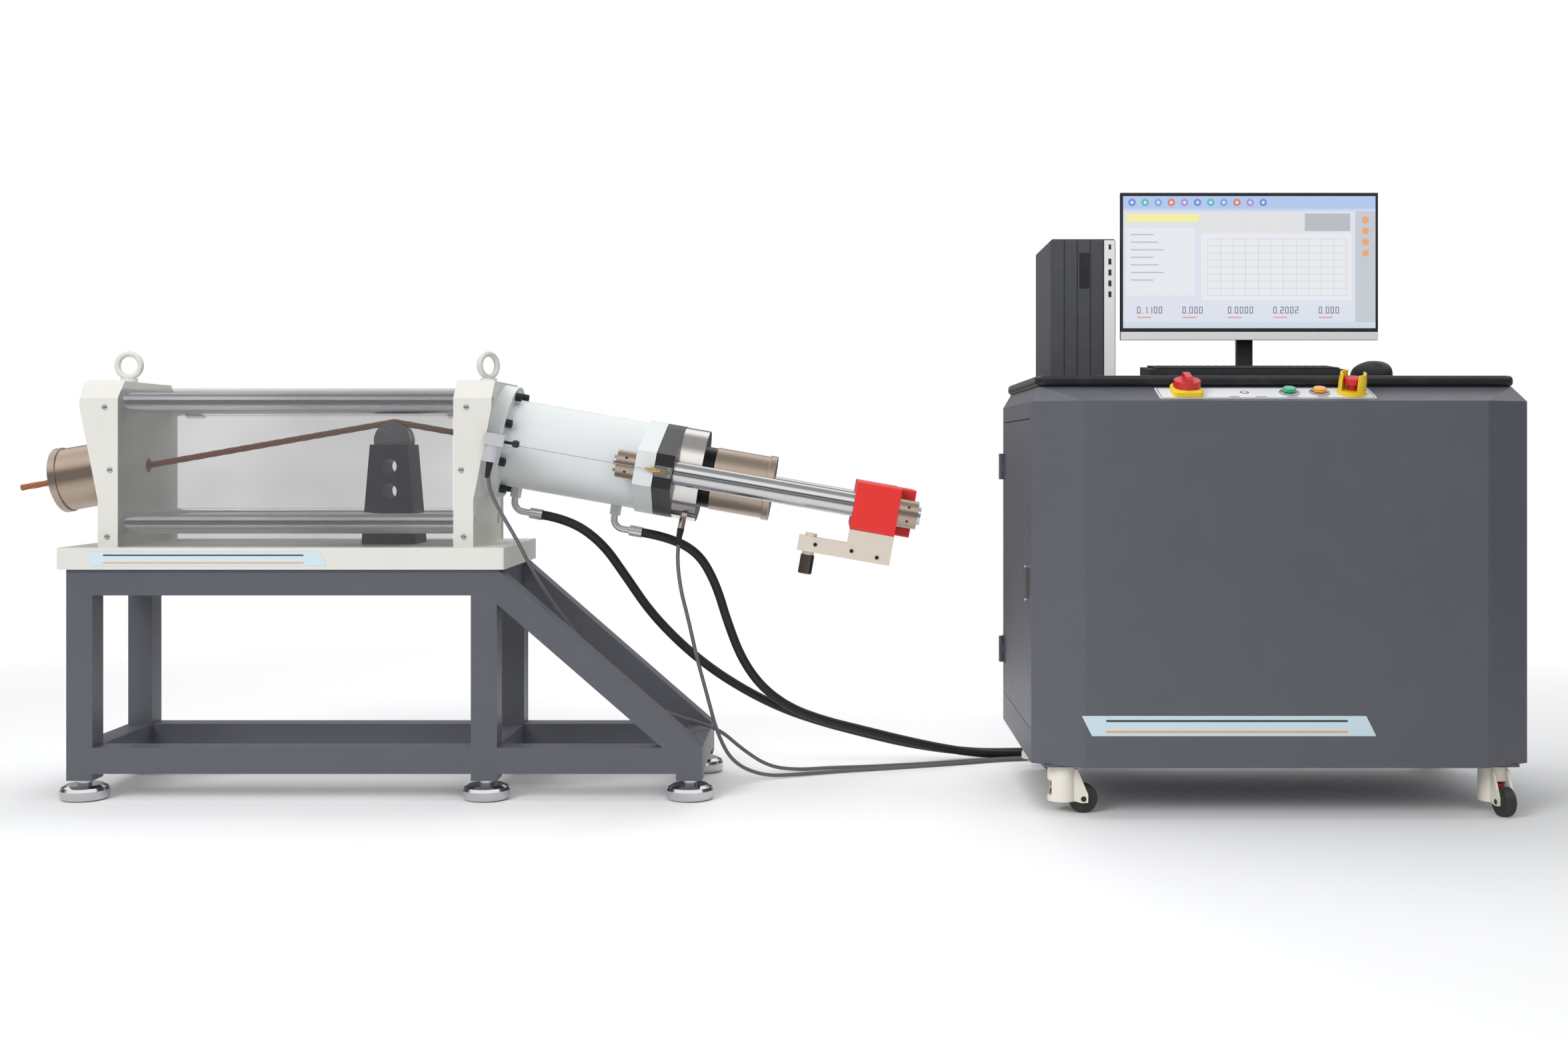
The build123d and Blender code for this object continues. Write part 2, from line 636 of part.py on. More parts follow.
def lobed_plate(z0, z1):
    """Round plate drawn out to a lobe at each guide rod."""
    middle = Pos(0, 0, z0) * extrude(Circle(GLAND_D / 2), z1 - z0)
    r = GLAND_D / 2
    side = LOBE_HALF_H
    reach = math.hypot(LOBE_Y, side)
    bearing = math.atan2(side, LOBE_Y)
    touch = bearing + math.acos(r / reach)
    meet = (r * math.sin(touch), r * math.cos(touch))
    quarter = [meet, (side, LOBE_Y), (-side, LOBE_Y), (-meet[0], meet[1])]
    outline = quarter + [(x, -y) for x, y in reversed(quarter)]
    wings = extrude(make_face(Polyline(*outline, close=True)), z1 - z0)
    return middle + Pos(0, 0, z0) * wings


def make_cylinder():
    """Hollow-piston cylinder bolted to the right block, with its gland and two guide rods."""
    where = RIGHT_SEAT.location
    barrel = disc(FLANGE_D, 0, FLANGE_L) + disc(BARREL_D, FLANGE_L, BARREL_L)
    barrel -= disc(BARREL_BORE_D, BARREL_FLOOR, BARREL_L)
    barrel += disc(CORE_TUBE_D, 0, CORE_TUBE_L)
    barrel -= disc(CORE_BORE_D, 0, CORE_TUBE_L)
    barrel -= block(-FLANGE_D, FLANGE_D, FLANGE_FLAT, FLANGE_D, 0, FLANGE_L)
    bolts = []
    for place in flange_bolt_places():
        barrel -= place * disc(BOLT_SHANK_D, 0, FLANGE_L)
        head = disc(BOLT_HEAD_D, FLANGE_L, FLANGE_L + BOLT_HEAD_L)
        socket = disc(BOLT_HEAD_D / 2, FLANGE_L + BOLT_HEAD_L / 2, FLANGE_L + BOLT_HEAD_L)
        bolts.append(where * place * (head - socket + disc(BOLT_SHANK_D, -BLOCK_FOOT / 2, FLANGE_L)))
    for z in PORT_STATIONS:
        barrel -= Pos(-BARREL_D / 2, 0, z) * Rot(0, 90, 0) * Cylinder(PORT_TUBE_D / 4, BARREL_D / 2)
        half = PORT_HEX_D / 2
        barrel -= block(-BARREL_D, -port_face(), -PORT_HEX_D, PORT_HEX_D, z - half, z + half)
    keep("cylinder_barrel", where * barrel)
    keep("flange_bolts", *bolts)

    gland = lobed_plate(BARREL_L, GLAND_END) - disc(PISTON_ROD_D + 2 * RUNNING_GAP, BARREL_L, GLAND_END)
    rods = []
    nuts = []
    nut_left = BARREL_L - NUT_L
    for y in (-ROD_Y, ROD_Y):
        shift = Pos(0, y, 0)
        gland -= shift * disc(ROD_THREAD_D, BARREL_L, GLAND_END)
        rod = disc(ROD_D, GLAND_END, BEAM_START)
        rod += disc(ROD_THREAD_D, nut_left - ROD_END_PROUD, GLAND_END)
        rod += disc(ROD_THREAD_D, BEAM_START, NUT_RIGHT + NUT_L + ROD_END_PROUD)
        rods.append(where * shift * rod)
        for z in (nut_left, NUT_RIGHT):
            nuts.append(where * shift * round_nut(z))
    keep("cylinder_gland", where * gland)
    keep("guide_rods", *rods)
    keep("rod_nuts", *nuts)


def port_face():
    """Distance of the flat under each port from the cylinder's axis."""
    return math.sqrt((BARREL_D / 2) ** 2 - (PORT_HEX_D / 2) ** 2)


def round_nut(z0):
    """Round nut with a ring of pin-spanner holes."""
    nut = ring(NUT_D, ROD_THREAD_D, z0, z0 + NUT_L)
    deep = (NUT_D - ROD_THREAD_D) / 4
    for i in range(NUT_PIN_HOLES):
        hole = Pos(NUT_D / 2, 0, z0 + NUT_L / 2) * Rot(0, 90, 0) * Cylinder(NUT_PIN_HOLE_D / 2, 2 * deep)
        nut -= Rot(0, 0, 360 / NUT_PIN_HOLES * i) * hole
    return nut


def make_piston():
    """Everything that the oil pushes: piston, pull plate, load cell, adapter and pulled anchor."""
    where = RIGHT_SEAT.location
    bore = CORE_TUBE_D + 2 * RUNNING_GAP
    head_end = PISTON_HEAD_START + PISTON_HEAD_L
    piston = disc(BARREL_BORE_D - 2 * RUNNING_GAP, PISTON_HEAD_START, head_end)
    piston += disc(PISTON_ROD_D, head_end, CELL_START)
    piston -= disc(bore, PISTON_HEAD_START, CELL_START)
    keep("piston", where * piston)

    plate = lobed_plate(PULL_START, CELL_START) - disc(PISTON_ROD_D, PULL_START, CELL_START)
    for y in (-ROD_Y, ROD_Y):
        plate -= Pos(0, y, 0) * disc(ROD_D + 2 * RUNNING_GAP, PULL_START, CELL_START)
    keep("pull_plate", where * plate)

    cell = ring(LOAD_CELL_D, bore, CELL_START, ADAPTER_START)
    for i in range(LOAD_CELL_BOLTS):
        place = Rot(0, 0, 360 / LOAD_CELL_BOLTS * i) * Pos(LOAD_CELL_PCD / 2, 0, 0)
        cell -= place * disc(BOLT_SHANK_D, ADAPTER_START - BOLT_SHANK_D, ADAPTER_START)
    below = Rot(0, 0, -CONNECTOR_TURN)
    flat = block(-LOAD_CELL_D, -cell_flat(), -CONNECTOR_D, CONNECTOR_D, CELL_START, ADAPTER_START)
    plug = Rot(0, 90, 0) * Cylinder(CONNECTOR_D / 2, CONNECTOR_L)
    plug = Pos(-cell_flat() - CONNECTOR_L / 2, 0, (CELL_START + ADAPTER_START) / 2) * plug
    keep("load_cell", where * (cell - below * flat + below * plug))

    collar = ring(ADAPTER_D, bore, ADAPTER_START, CUP_START)
    keep("active_cup", where * (collar + Pos(0, 0, CUP_START) * anchor_cup(ACTIVE_CUP_L)))
    seat = where * Pos(0, 0, CUP_START)
    keep("active_anchor", *[seat * solid for solid in anchor_set()])


def cell_flat():
    """Distance of the connector's flat from the load cell's axis."""
    return math.sqrt((LOAD_CELL_D / 2) ** 2 - CONNECTOR_D ** 2)


def make_stop_beam():
    """Beam that turns on the front rod and hooks over the rear one, with its handle and knob."""
    where = RIGHT_SEAT.location
    half = BEAM_HEIGHT / 2
    z0 = BEAM_START + FACE_GAP
    z1 = NUT_RIGHT - FACE_GAP
    beam = block(-half, half, -BEAM_FRONT, BEAM_FRONT, z0, z1)
    beam += block(-half, half, -BEAM_MID_HALF, BEAM_MID_HALF, z1, BEAM_START + BEAM_MID_L)
    beam = fillet(beam.edges().filter_by(Axis.Z), 4)
    hole = ROD_THREAD_D + 2 * RUNNING_GAP
    mouth = hole / 2
    sweep_room = ROD_Y * 2 - math.sqrt((2 * ROD_Y) ** 2 - BEAM_HEIGHT ** 2 / 4)
    beam -= Pos(0, ROD_Y, 0) * disc(hole, z0, z1)
    beam -= Pos(0, -ROD_Y, 0) * disc(hole, z0, z1)
    slot_front = -ROD_Y + mouth + sweep_room + FACE_GAP
    beam -= block(-half, 0, -ROD_Y - mouth, slot_front, z0, z1)
    keep("stop_beam", where * beam)

    arm_z = BEAM_START - HANDLE_ARM_L
    low = -half - HANDLE_DROP
    arm_top = low + HANDLE_ARM_H
    outline = [(-half, z0), (-half, z1), (low, z1), (low, arm_z), (arm_top, arm_z), (arm_top, z0)]
    face = make_face(Polyline(*[(x, 0, z) for x, z in outline], close=True))
    plate = Pos(0, BEAM_FRONT - HANDLE_DEPTH, 0) * extrude(face, HANDLE_DEPTH, dir=(0, 1, 0))
    pin_y = BEAM_FRONT - HANDLE_DEPTH / 2
    at_pin = Pos(0, pin_y, arm_z + PIN_INSET) * Rot(0, -90, 0)
    plate += at_pin * disc(PIN_D, -arm_top - PIN_PROUD, -low + PIN_NECK)
    knob_start = -low + PIN_NECK + RUNNING_GAP
    plate += at_pin * disc(SPINDLE_D, -low, knob_start + KNOB_L * 0.8)
    keep("swing_handle", where * plate)
    knob = disc(KNOB_D, knob_start, knob_start + KNOB_L)
    knob = fillet(knob.edges(), 3)
    knob -= disc(SPINDLE_D + 2 * RUNNING_GAP, knob_start, knob_start + KNOB_L * 0.8 + RUNNING_GAP)
    keep("handle_knob", where * at_pin * knob)


def make_wire_sensor():
    """Draw-wire travel sensor on the flange's flat, and its wire to the pull plate."""
    where = RIGHT_SEAT.location
    inner = SENSOR_Y - SENSOR_DEPTH / 2
    outer = SENSOR_Y + SENSOR_DEPTH / 2
    end = SENSOR_START + SENSOR_L
    low = SENSOR_RISE - SENSOR_H / 2
    high = SENSOR_RISE + SENSOR_H / 2
    body = block(low, high, inner, outer, SENSOR_START, end)
    bracket_end = min(FLANGE_L, SENSOR_START + SENSOR_BRACKET_L)
    body += block(low, high, FLANGE_FLAT, inner, SENSOR_START, bracket_end)
    body += Pos(0, SENSOR_Y, 0) * disc(NOZZLE_D, end, end + NOZZLE_L)
    side = Pos(low, SENSOR_Y, SENSOR_START + ENCODER_D / 2) * Rot(0, -90, 0)
    body += side * disc(ENCODER_D, 0, ENCODER_L)
    keep("wire_sensor", where * body)
    wire = Pos(0, SENSOR_Y, 0) * disc(WIRE_D, end + NOZZLE_L, PULL_START + PULL_PLATE_L / 2)
    keep("measuring_wire", where * wire)


def port_fitting(z):
    """Hexagon adapter, bent steel tube and crimped sleeve under the cylinder, in its own axes."""
    top = -port_face()
    bend = PORT_TUBE_D * 1.5
    corner_x = -BARREL_D / 2 - PORT_DROP
    hexagon = Pos(top, 0, z) * Rot(0, -90, 0) * extrude(RegularPolygon(PORT_HEX_D / 2, 6), PORT_HEX_L)
    start = (top - PORT_HEX_L, 0, z)
    path = FilletPolyline(start, (corner_x, 0, z), (corner_x, 0, z + PORT_REACH), radius=bend)
    tube = sweep(Plane(start, z_dir=(-1, 0, 0)) * Circle(PORT_TUBE_D / 2), path=path)
    crimp = Pos(corner_x, 0, 0) * disc(CRIMP_D, z + PORT_REACH - CRIMP_L, z + PORT_REACH)
    return hexagon + tube + crimp


def rear_end(x, out, z):
    """Place where a cord ends behind the console, from its left side and its rear panel."""
    return Vector(CABINET_LEFT + x, CABINET_REAR + out, z)


def rear_elbow(end, tube_d, sleeve_d, sleeve_l):
    """Fitting that leaves the cabinet's rear panel and bends down over the end of a cord."""
    x, y, z = end
    top = z + REAR_SLEEVE_RISE
    bend = min(tube_d * 1.5, (y - CABINET_REAR) / 2)
    start = (x, CABINET_REAR, top)
    path = FilletPolyline(start, (x, y, top), (x, y, z), radius=bend)
    tube = sweep(Plane(start, z_dir=(0, 1, 0)) * Circle(tube_d / 2), path=path)
    collar = Pos(*start) * Rot(-90, 0, 0) * extrude(RegularPolygon(0.9 * tube_d, 6), tube_d / 4)
    return tube + collar + Pos(x, y, 0) * disc(sleeve_d, z, z + sleeve_l)


def make_fittings():
    """Hose ends on the cylinder and on the console, with the cable glands."""
    solids = [RIGHT_SEAT.location * port_fitting(z) for z in PORT_STATIONS]
    for x, out in zip(REAR_HOSE_X, REAR_HOSE_OUT):
        solids.append(rear_elbow(rear_end(x, out, REAR_HOSE_Z), PORT_TUBE_D, CRIMP_D, CRIMP_L))
    for x, out in zip(REAR_CABLE_X, REAR_CABLE_OUT):
        solids.append(rear_elbow(rear_end(x, out, REAR_CABLE_Z), CABLE_D, GLAND_BODY_D, GLAND_BODY_L))
    keep("hose_fittings", *solids)


# Routes of the free hoses and cables: first the points measured from under the mandrel, then the
# points measured from the foot of the console's left rear corner
HOSE_ROUTES = {
    "retract_hose": (
        [
            (497, 82, 582), (551, 106, 500), (609, 134, 408), (685, 160, 324), (761, 186, 258),
            (849, 216, 198), (939, 246, 150), (1035, 278, 113),
        ],
        [
            (-364, -40, 82), (-262, -7, 52), (-160, 25, 30), (-56, 56, 15), (42, 80, 12),
            (134, 90, 12), (200, 90, 12), (248, 90, 32), (284, 90, 68), (304, 90, 116),
        ],
    ),
    "extend_hose": (
        [
            (733, 80, 556), (773, 108, 478), (799, 132, 384), (833, 152, 290), (883, 174, 216),
            (951, 200, 162), (1035, 232, 126),
        ],
        [
            (-364, -82, 96), (-264, -48, 66), (-160, -12, 38), (-60, 22, 18), (20, 46, 12),
            (82, 54, 12), (130, 54, 12), (178, 54, 32), (214, 54, 68), (234, 54, 116),
        ],
    ),
}
CABLE_ROUTES = {
    "sensor_cable": (
        [
            (287, -130, 670), (329, -120, 596), (361, -92, 520), (409, -44, 430), (477, 6, 330),
            (559, 44, 240), (635, 72, 176), (709, 96, 148), (779, 124, 122), (837, 156, 64),
            (899, 186, 18), (969, 212, 5), (1049, 236, 6),
        ],
        [
            (-362, -94, 4.6), (-270, -72, 5), (-180, -44, 4.6), (-84, -10, 5), (-10, 18, 4.6),
            (46, 32, 5), (90, 34, 5), (130, 34, 22), (161, 34, 53), (178, 34, 93),
        ],
    ),
    "load_cell_cable": (
        [
            (693, 8, 480), (713, 18, 400), (731, 32, 310), (757, 46, 210), (779, 62, 120),
            (815, 80, 46), (887, 114, 8), (969, 150, 5), (1055, 190, 4.6),
        ],
        [
            (-360, -132, 5), (-274, -102, 4.6), (-180, -68, 5), (-94, -34, 4.6), (-22, -2, 5),
            (32, 14, 4.6), (74, 16, 5), (114, 16, 22), (145, 16, 53), (162, 16, 93),
        ],
    ),
}


def cord_tube(lead, points, end, diameter):
    """Round tube along straight runs joined by arcs as large as the runs allow."""
    near, far = points
    route = lead + [Vector(MANDREL_X + x, y, z) for x, y, z in near]
    route += [Vector(CABINET_LEFT + x, CABINET_REAR + y, z) for x, y, z in far] + [end]
    radii = []
    for before, corner, after in zip(route, route[1:], route[2:]):
        shorter = min((corner - before).length, (after - corner).length)
        turn = (corner - before).get_angle(after - corner)
        radii.append(0.45 * shorter / math.tan(math.radians(turn / 2)))
    path = FilletPolyline(*route, radius=radii)
    return sweep(Plane(route[0], z_dir=route[1] - route[0]) * Circle(diameter / 2), path=path)


def make_cords():
    """Two hydraulic hoses and two signal cables."""
    drop = -BARREL_D / 2 - PORT_DROP
    for name, z, x, out in zip(HOSE_ROUTES, PORT_STATIONS, REAR_HOSE_X, REAR_HOSE_OUT):
        start = RIGHT_SEAT.from_local_coords(Vector(drop, 0, z + PORT_REACH))
        first = start + RIGHT_AXIS * HOSE_FIRST_RUN
        keep(name, cord_tube([start, first], HOSE_ROUTES[name], rear_end(x, out, REAR_HOSE_Z), HOSE_D))
    down = RIGHT_SEAT.x_dir * -1
    encoder_low = SENSOR_RISE - SENSOR_H / 2 - ENCODER_L
    encoder = RIGHT_SEAT.from_local_coords(Vector(encoder_low, SENSOR_Y, SENSOR_START + ENCODER_D / 2))
    turn = math.radians(CONNECTOR_TURN)
    out = down * math.cos(turn) + RIGHT_SEAT.y_dir * math.sin(turn)
    middle = RIGHT_SEAT.from_local_coords(Vector(0, 0, (CELL_START + ADAPTER_START) / 2))
    plug = middle + out * (cell_flat() + CONNECTOR_L)
    leads = ([encoder, encoder + down * CABLE_FIRST_RUN], [plug, plug + out * CABLE_FIRST_RUN])
    for name, lead, x, away in zip(CABLE_ROUTES, leads, REAR_CABLE_X, REAR_CABLE_OUT):
        keep(name, cord_tube(lead, CABLE_ROUTES[name], rear_end(x, away, REAR_CABLE_Z), CABLE_D))


def cabinet_outline(inset, z):
    """Corner points of the cabinet's plan, with its two chamfered front corners."""
    left = CABINET_LEFT + inset
    right = CABINET_RIGHT - inset
    front = CABINET_FRONT + inset
    rear = CABINET_REAR - inset
    side = CABINET_FRONT + CHAMFER_Y + inset / 2
    points = [(left, rear), (left, side), (CABINET_LEFT + CHAMFER_X, front)]
    points += [(CABINET_RIGHT - CHAMFER_X, front), (right, side), (right, rear)]
    return [(x, y, z) for x, y in points]


def deck_shape(inset, low, high):
    """Desk top that slopes up from the cabinet's front edge."""
    x0 = CABINET_LEFT + DECK_SIDE_INSET + inset
    x1 = CABINET_RIGHT - DECK_SIDE_INSET - inset
    front = DECK_FRONT + inset
    rear = CABINET_REAR - inset
    corner = SHEET
    upper = [(x0, rear), (x0, front + corner), (x0 + corner, front), (x1 - corner, front)]
    upper += [(x1, front + corner), (x1, rear)]
    lower_face = make_face(Polyline(*cabinet_outline(inset, low), close=True))
    upper_face = make_face(Polyline(*[(x, y, high) for x, y in upper], close=True))
    return loft([lower_face, upper_face], ruled=True)


def make_cabinet():
    """Sheet-metal cabinet with a sloped desk, a worktop and a hinged side door."""
    height = CABINET_TOP - CABINET_BOTTOM
    outer = make_face(Polyline(*cabinet_outline(0, CABINET_BOTTOM), close=True))
    inner = make_face(Polyline(*cabinet_outline(SHEET, CABINET_BOTTOM + SHEET), close=True))
    body = extrude(outer, height, dir=(0, 0, 1)) - extrude(inner, height, dir=(0, 0, 1))
    door_y = (CABINET_FRONT + CHAMFER_Y + DOOR_FRONT_INSET, CABINET_REAR - DOOR_REAR_INSET)
    body -= block(CABINET_LEFT - SHEET, CABINET_LEFT + 2 * SHEET, *door_y, DOOR_BOTTOM, DOOR_TOP)
    vent_x = (CABINET_LEFT + CABINET_RIGHT) / 2
    for i in range(VENT_COUNT):
        z = (DOOR_BOTTOM + DOOR_TOP) / 2 + VENT_PITCH * (i - (VENT_COUNT - 1) / 2)
        vent = block(vent_x - VENT_L / 2, vent_x + VENT_L / 2, CABINET_REAR - 2 * SHEET, CABINET_REAR + SHEET,
                     z - VENT_H / 2, z + VENT_H / 2)
        body -= vent
    for z in HINGE_STATIONS:
        body += hinge_place(door_y, z) * fixed_hinge_half()
    keep("cabinet_body", body, *make_casters())

    deck = deck_shape(0, CABINET_TOP, DECK_TOP) - deck_shape(SHEET, CABINET_TOP, DECK_TOP - SHEET)
    for x in (SWITCH_X, *LAMP_X, ESTOP_X):
        deck -= panel_frame(x).location * disc(ESTOP_STEM_D + 2 * RUNNING_GAP, -4 * SHEET, SHEET)
    keep("cabinet_deck", deck)

    x0 = CABINET_LEFT + WORKTOP_SIDE_INSET
    x1 = CABINET_RIGHT - WORKTOP_SIDE_INSET
    top = block(x0, x1, WORKTOP_FRONT, CABINET_REAR, DECK_TOP, WORKTOP_TOP)
    corners = top.edges().filter_by(Axis.Z).group_by(Axis.Y)[0]
    top = fillet(corners, WORKTOP_THICK)
    rim = top.faces().sort_by(Axis.Z)[-1].edges() + top.faces().sort_by(Axis.Z)[0].edges()
    top = fillet(rim.filter_by(lambda e: e.center().Y < CABINET_REAR - 1), WORKTOP_THICK * 0.4)
    keep("worktop", top)
    make_door(door_y)


def hinge_place(door_y, station):
    """Foot of one door hinge, on its pin's axis."""
    return Pos(CABINET_LEFT - HINGE_D / 2, door_y[1], DOOR_BOTTOM + station)


def hinge_leaf(y0, y1, z0, z1):
    """Flat leaf that lies on the sheet beside the hinge's barrel."""
    return block(HINGE_D / 2 - SHEET, HINGE_D / 2, y0, y1, z0, z1)


def fixed_hinge_half():
    """Leaf, two outer knuckles and the pin, on the cabinet's side."""
    third = HINGE_L / 3
    half = hinge_leaf(HINGE_D / 2 + 1, HINGE_LEAF, 0, HINGE_L)
    for z in (0, 2 * third):
        half += disc(HINGE_D, z, z + third)
        half += block(0, HINGE_D / 2, 0, HINGE_D / 2 + 2, z, z + third)
    return half + disc(HINGE_PIN_D, 0, HINGE_L)


def door_hinge_half():
    """Leaf and middle knuckle, on the door."""
    z0 = HINGE_L / 3 + FACE_GAP / 2
    z1 = 2 * HINGE_L / 3 - FACE_GAP / 2
    half = disc(HINGE_D, z0, z1)
    half += block(0, HINGE_D / 2, -HINGE_D / 2 - 2, 0, z0, z1)
    half += hinge_leaf(-HINGE_LEAF, -HINGE_D / 2 - 1, 0, HINGE_L)
    return half - disc(HINGE_PIN_D + 2 * FIT_GAP, z0, z1)


def make_door(door_y):
    """Pan-shaped door on the left side, hinged at the rear, and its swing latch."""
    x0 = CABINET_LEFT
    y0 = door_y[0] + DOOR_GAP
    y1 = door_y[1] - DOOR_GAP
    z0 = DOOR_BOTTOM + DOOR_GAP
    z1 = DOOR_TOP - DOOR_GAP
    door = block(x0, x0 + DOOR_DEPTH, y0, y1, z0, z1)
    door -= block(x0 + SHEET, x0 + DOOR_DEPTH, y0 + SHEET, y1 - SHEET, z0 + SHEET, z1 - SHEET)
    latch_y = y0 + LATCH_INSET
    spindle = Rot(0, 90, 0) * Cylinder(LATCH_W / 4, SHEET)
    spindle_hole = Rot(0, 90, 0) * Cylinder(LATCH_W / 4 + RUNNING_GAP, 2 * SHEET)
    door -= Pos(x0 + SHEET / 2, latch_y, LATCH_Z) * spindle_hole
    for z in HINGE_STATIONS:
        door += hinge_place(door_y, z) * door_hinge_half()
    keep("side_door", door)
    paddle = block(-LATCH_THICK, 0, -LATCH_W / 2, LATCH_W / 2, -LATCH_L * 0.75, LATCH_L * 0.25)
    paddle = fillet(paddle.edges().filter_by(Axis.X), LATCH_W / 4)
    paddle = fillet(paddle.faces().sort_by(Axis.X)[0].edges(), LATCH_THICK / 4)
    paddle = Pos(-RUNNING_GAP, 0, 0) * paddle + Pos(SHEET / 2 - RUNNING_GAP, 0, 0) * spindle
    keep("door_latch", Pos(x0, latch_y, LATCH_Z) * paddle)


def panel_frame(offset):
    """Axes on the sloped panel: X to the right, Z out of the panel."""
    y = CABINET_FRONT + DECK_SLOPE_Y / 2
    z = CABINET_TOP + DECK_RISE / 2
    return Plane((CABINET_LEFT + offset, y, z), x_dir=(1, 0, 0), z_dir=PANEL_NORMAL)


def make_controls():
    """Main switch, two lamps that press, and the shrouded emergency stop."""
    plate = Box(PLATE_L, PLATE_W, PLATE_THICK)
    plate = Pos(0, 0, PLATE_THICK / 2) * fillet(plate.edges().filter_by(Axis.Z), 5)
    frame = panel_frame(PLATE_START + PLATE_L / 2)
    stem_room = ESTOP_STEM_D + 2 * RUNNING_GAP
    for x in (SWITCH_X, *LAMP_X, ESTOP_X):
        plate -= Pos(x - PLATE_START - PLATE_L / 2, 0, 0) * disc(stem_room, -1, 2 * PLATE_THICK)
    keep("control_plate", frame.location * plate)

    where = panel_frame(SWITCH_X).location * Pos(0, 0, PLATE_THICK)
    base = Pos(0, 0, SWITCH_BASE_H / 2) * Box(SWITCH_BASE, SWITCH_BASE, SWITCH_BASE_H)
    base = fillet(base.edges().filter_by(Axis.Z), 10)
    base = chamfer(base.faces().sort_by(Axis.Z)[-1].edges(), 4)
    base -= disc(ESTOP_STEM_D, 0, SWITCH_BASE_H)
    keep("switch_base", where * base)
    low = SWITCH_BASE_H + FACE_GAP
    knob = disc(SWITCH_KNOB_D, low, low + SWITCH_KNOB_H)
    knob = fillet(knob.faces().sort_by(Axis.Z)[-1].edges(), 3)
    grip = block(-SWITCH_GRIP_W / 2, SWITCH_GRIP_W / 2, -SWITCH_KNOB_D / 2 + 2, SWITCH_KNOB_D / 2 - 2,
                 low, low + SWITCH_KNOB_H + SWITCH_GRIP_H)
    grip = fillet(grip.edges().filter_by(Axis.X).group_by(Axis.Z)[-1], SWITCH_GRIP_H * 0.8)
    knob += grip
    knob += disc(ESTOP_STEM_D - 2 * RUNNING_GAP, -4 * SHEET, low)
    keep("switch_knob", where * knob)

    for name, x in zip(("green_button", "amber_button"), LAMP_X):
        where = panel_frame(x).location * Pos(0, 0, PLATE_THICK)
        cap = disc(LAMP_D, BUTTON_TRAVEL + FACE_GAP, LAMP_H)
        cap = fillet(cap.faces().sort_by(Axis.Z)[-1].edges(), 3)
        stem = disc(ESTOP_STEM_D - 2 * RUNNING_GAP, -4 * SHEET, BUTTON_TRAVEL + FACE_GAP)
        keep(name, where * (cap + stem))

    where = panel_frame(ESTOP_X).location * Pos(0, 0, PLATE_THICK)
    inner = ESTOP_GUARD_D - 2 * ESTOP_GUARD_WALL
    guard = turned([
        (inner / 2, 0), (ESTOP_GUARD_D / 2, 0), (ESTOP_GUARD_D / 2, ESTOP_GUARD_H * 0.6),
        (ESTOP_GUARD_D / 2 - 2, ESTOP_GUARD_H), (inner / 2, ESTOP_GUARD_H),
    ])
    guard += ring(inner, ESTOP_STEM_D + 2 * RUNNING_GAP, 0, ESTOP_GUARD_BASE)
    slot = block(-ESTOP_GUARD_D, ESTOP_GUARD_D, -ESTOP_SLOT / 2, ESTOP_SLOT / 2,
                 ESTOP_GUARD_BASE + FACE_GAP, 2 * ESTOP_GUARD_H)
    guard -= Rot(0, 0, 60) * slot
    keep("estop_guard", where * guard)
    top = ESTOP_HEAD_START + ESTOP_HEAD_H
    head = disc(ESTOP_HEAD_D, ESTOP_HEAD_START, top)
    head = fillet(head.faces().sort_by(Axis.Z)[-1].edges(), 5)
    head += disc(ESTOP_STEM_D, -4 * SHEET, ESTOP_HEAD_START)
    keep("estop_button", where * head)


def make_caster(x, y, tag, trail_x):
    """Swivelling levelling caster: housing with a window, cheeks and one wheel."""
    top = CABINET_BOTTOM - CASTER_PLATE_H - FACE_GAP
    column = disc(CASTER_COLUMN_D, CASTER_FLOOR_GAP, top)
    window_low = CASTER_FLOOR_GAP + CASTER_WINDOW_RISE
    window = block(-CASTER_COLUMN_D, CASTER_COLUMN_D, -WHEEL_W / 2 - CASTER_CHEEK, WHEEL_W / 2 + CASTER_CHEEK,
                   window_low, window_low + CASTER_WINDOW_H)
    half = WHEEL_W / 2 + 1
    axle_z = WHEEL_D / 2
    outline = [(0, top - 8), (CASTER_COLUMN_D / 2, top - 8), (CASTER_TRAIL + 10, axle_z + 10)]
    outline += [(CASTER_TRAIL + 10, axle_z - 8), (CASTER_TRAIL - 4, axle_z - 9), (0, axle_z + 2)]
    cheeks = slab_xz(outline, -half - CASTER_CHEEK, -half) + slab_xz(outline, half, half + CASTER_CHEEK)
    room = Pos(CASTER_TRAIL, 0, axle_z) * Rot(90, 0, 0) * Cylinder(WHEEL_D / 2 + 3, 2 * half)
    axle_hole = Pos(CASTER_TRAIL, 0, axle_z) * Rot(90, 0, 0) * Cylinder(AXLE_D / 2 + RUNNING_GAP, 4 * half)
    housing = column - window + cheeks - room - axle_hole
    wheel = Cylinder(WHEEL_D / 2, WHEEL_W)
    wheel = fillet(wheel.edges(), 4)
    wheel += Cylinder(AXLE_D / 2, 2 * half + 2 * CASTER_CHEEK)
    wheel = Pos(CASTER_TRAIL, 0, axle_z) * Rot(90, 0, 0) * wheel
    place = Pos(x, y, 0) * Rot(0, 0, trail_x)
    keep(f"caster_housing_{tag}", place * housing)
    keep(f"caster_wheel_{tag}", place * wheel)
    plate = block(-CASTER_PLATE / 2, CASTER_PLATE / 2, -CASTER_PLATE / 2, CASTER_PLATE / 2,
                  CABINET_BOTTOM - CASTER_PLATE_H, CABINET_BOTTOM)
    return Pos(x, y, 0) * fillet(plate.edges().filter_by(Axis.Z), 8)


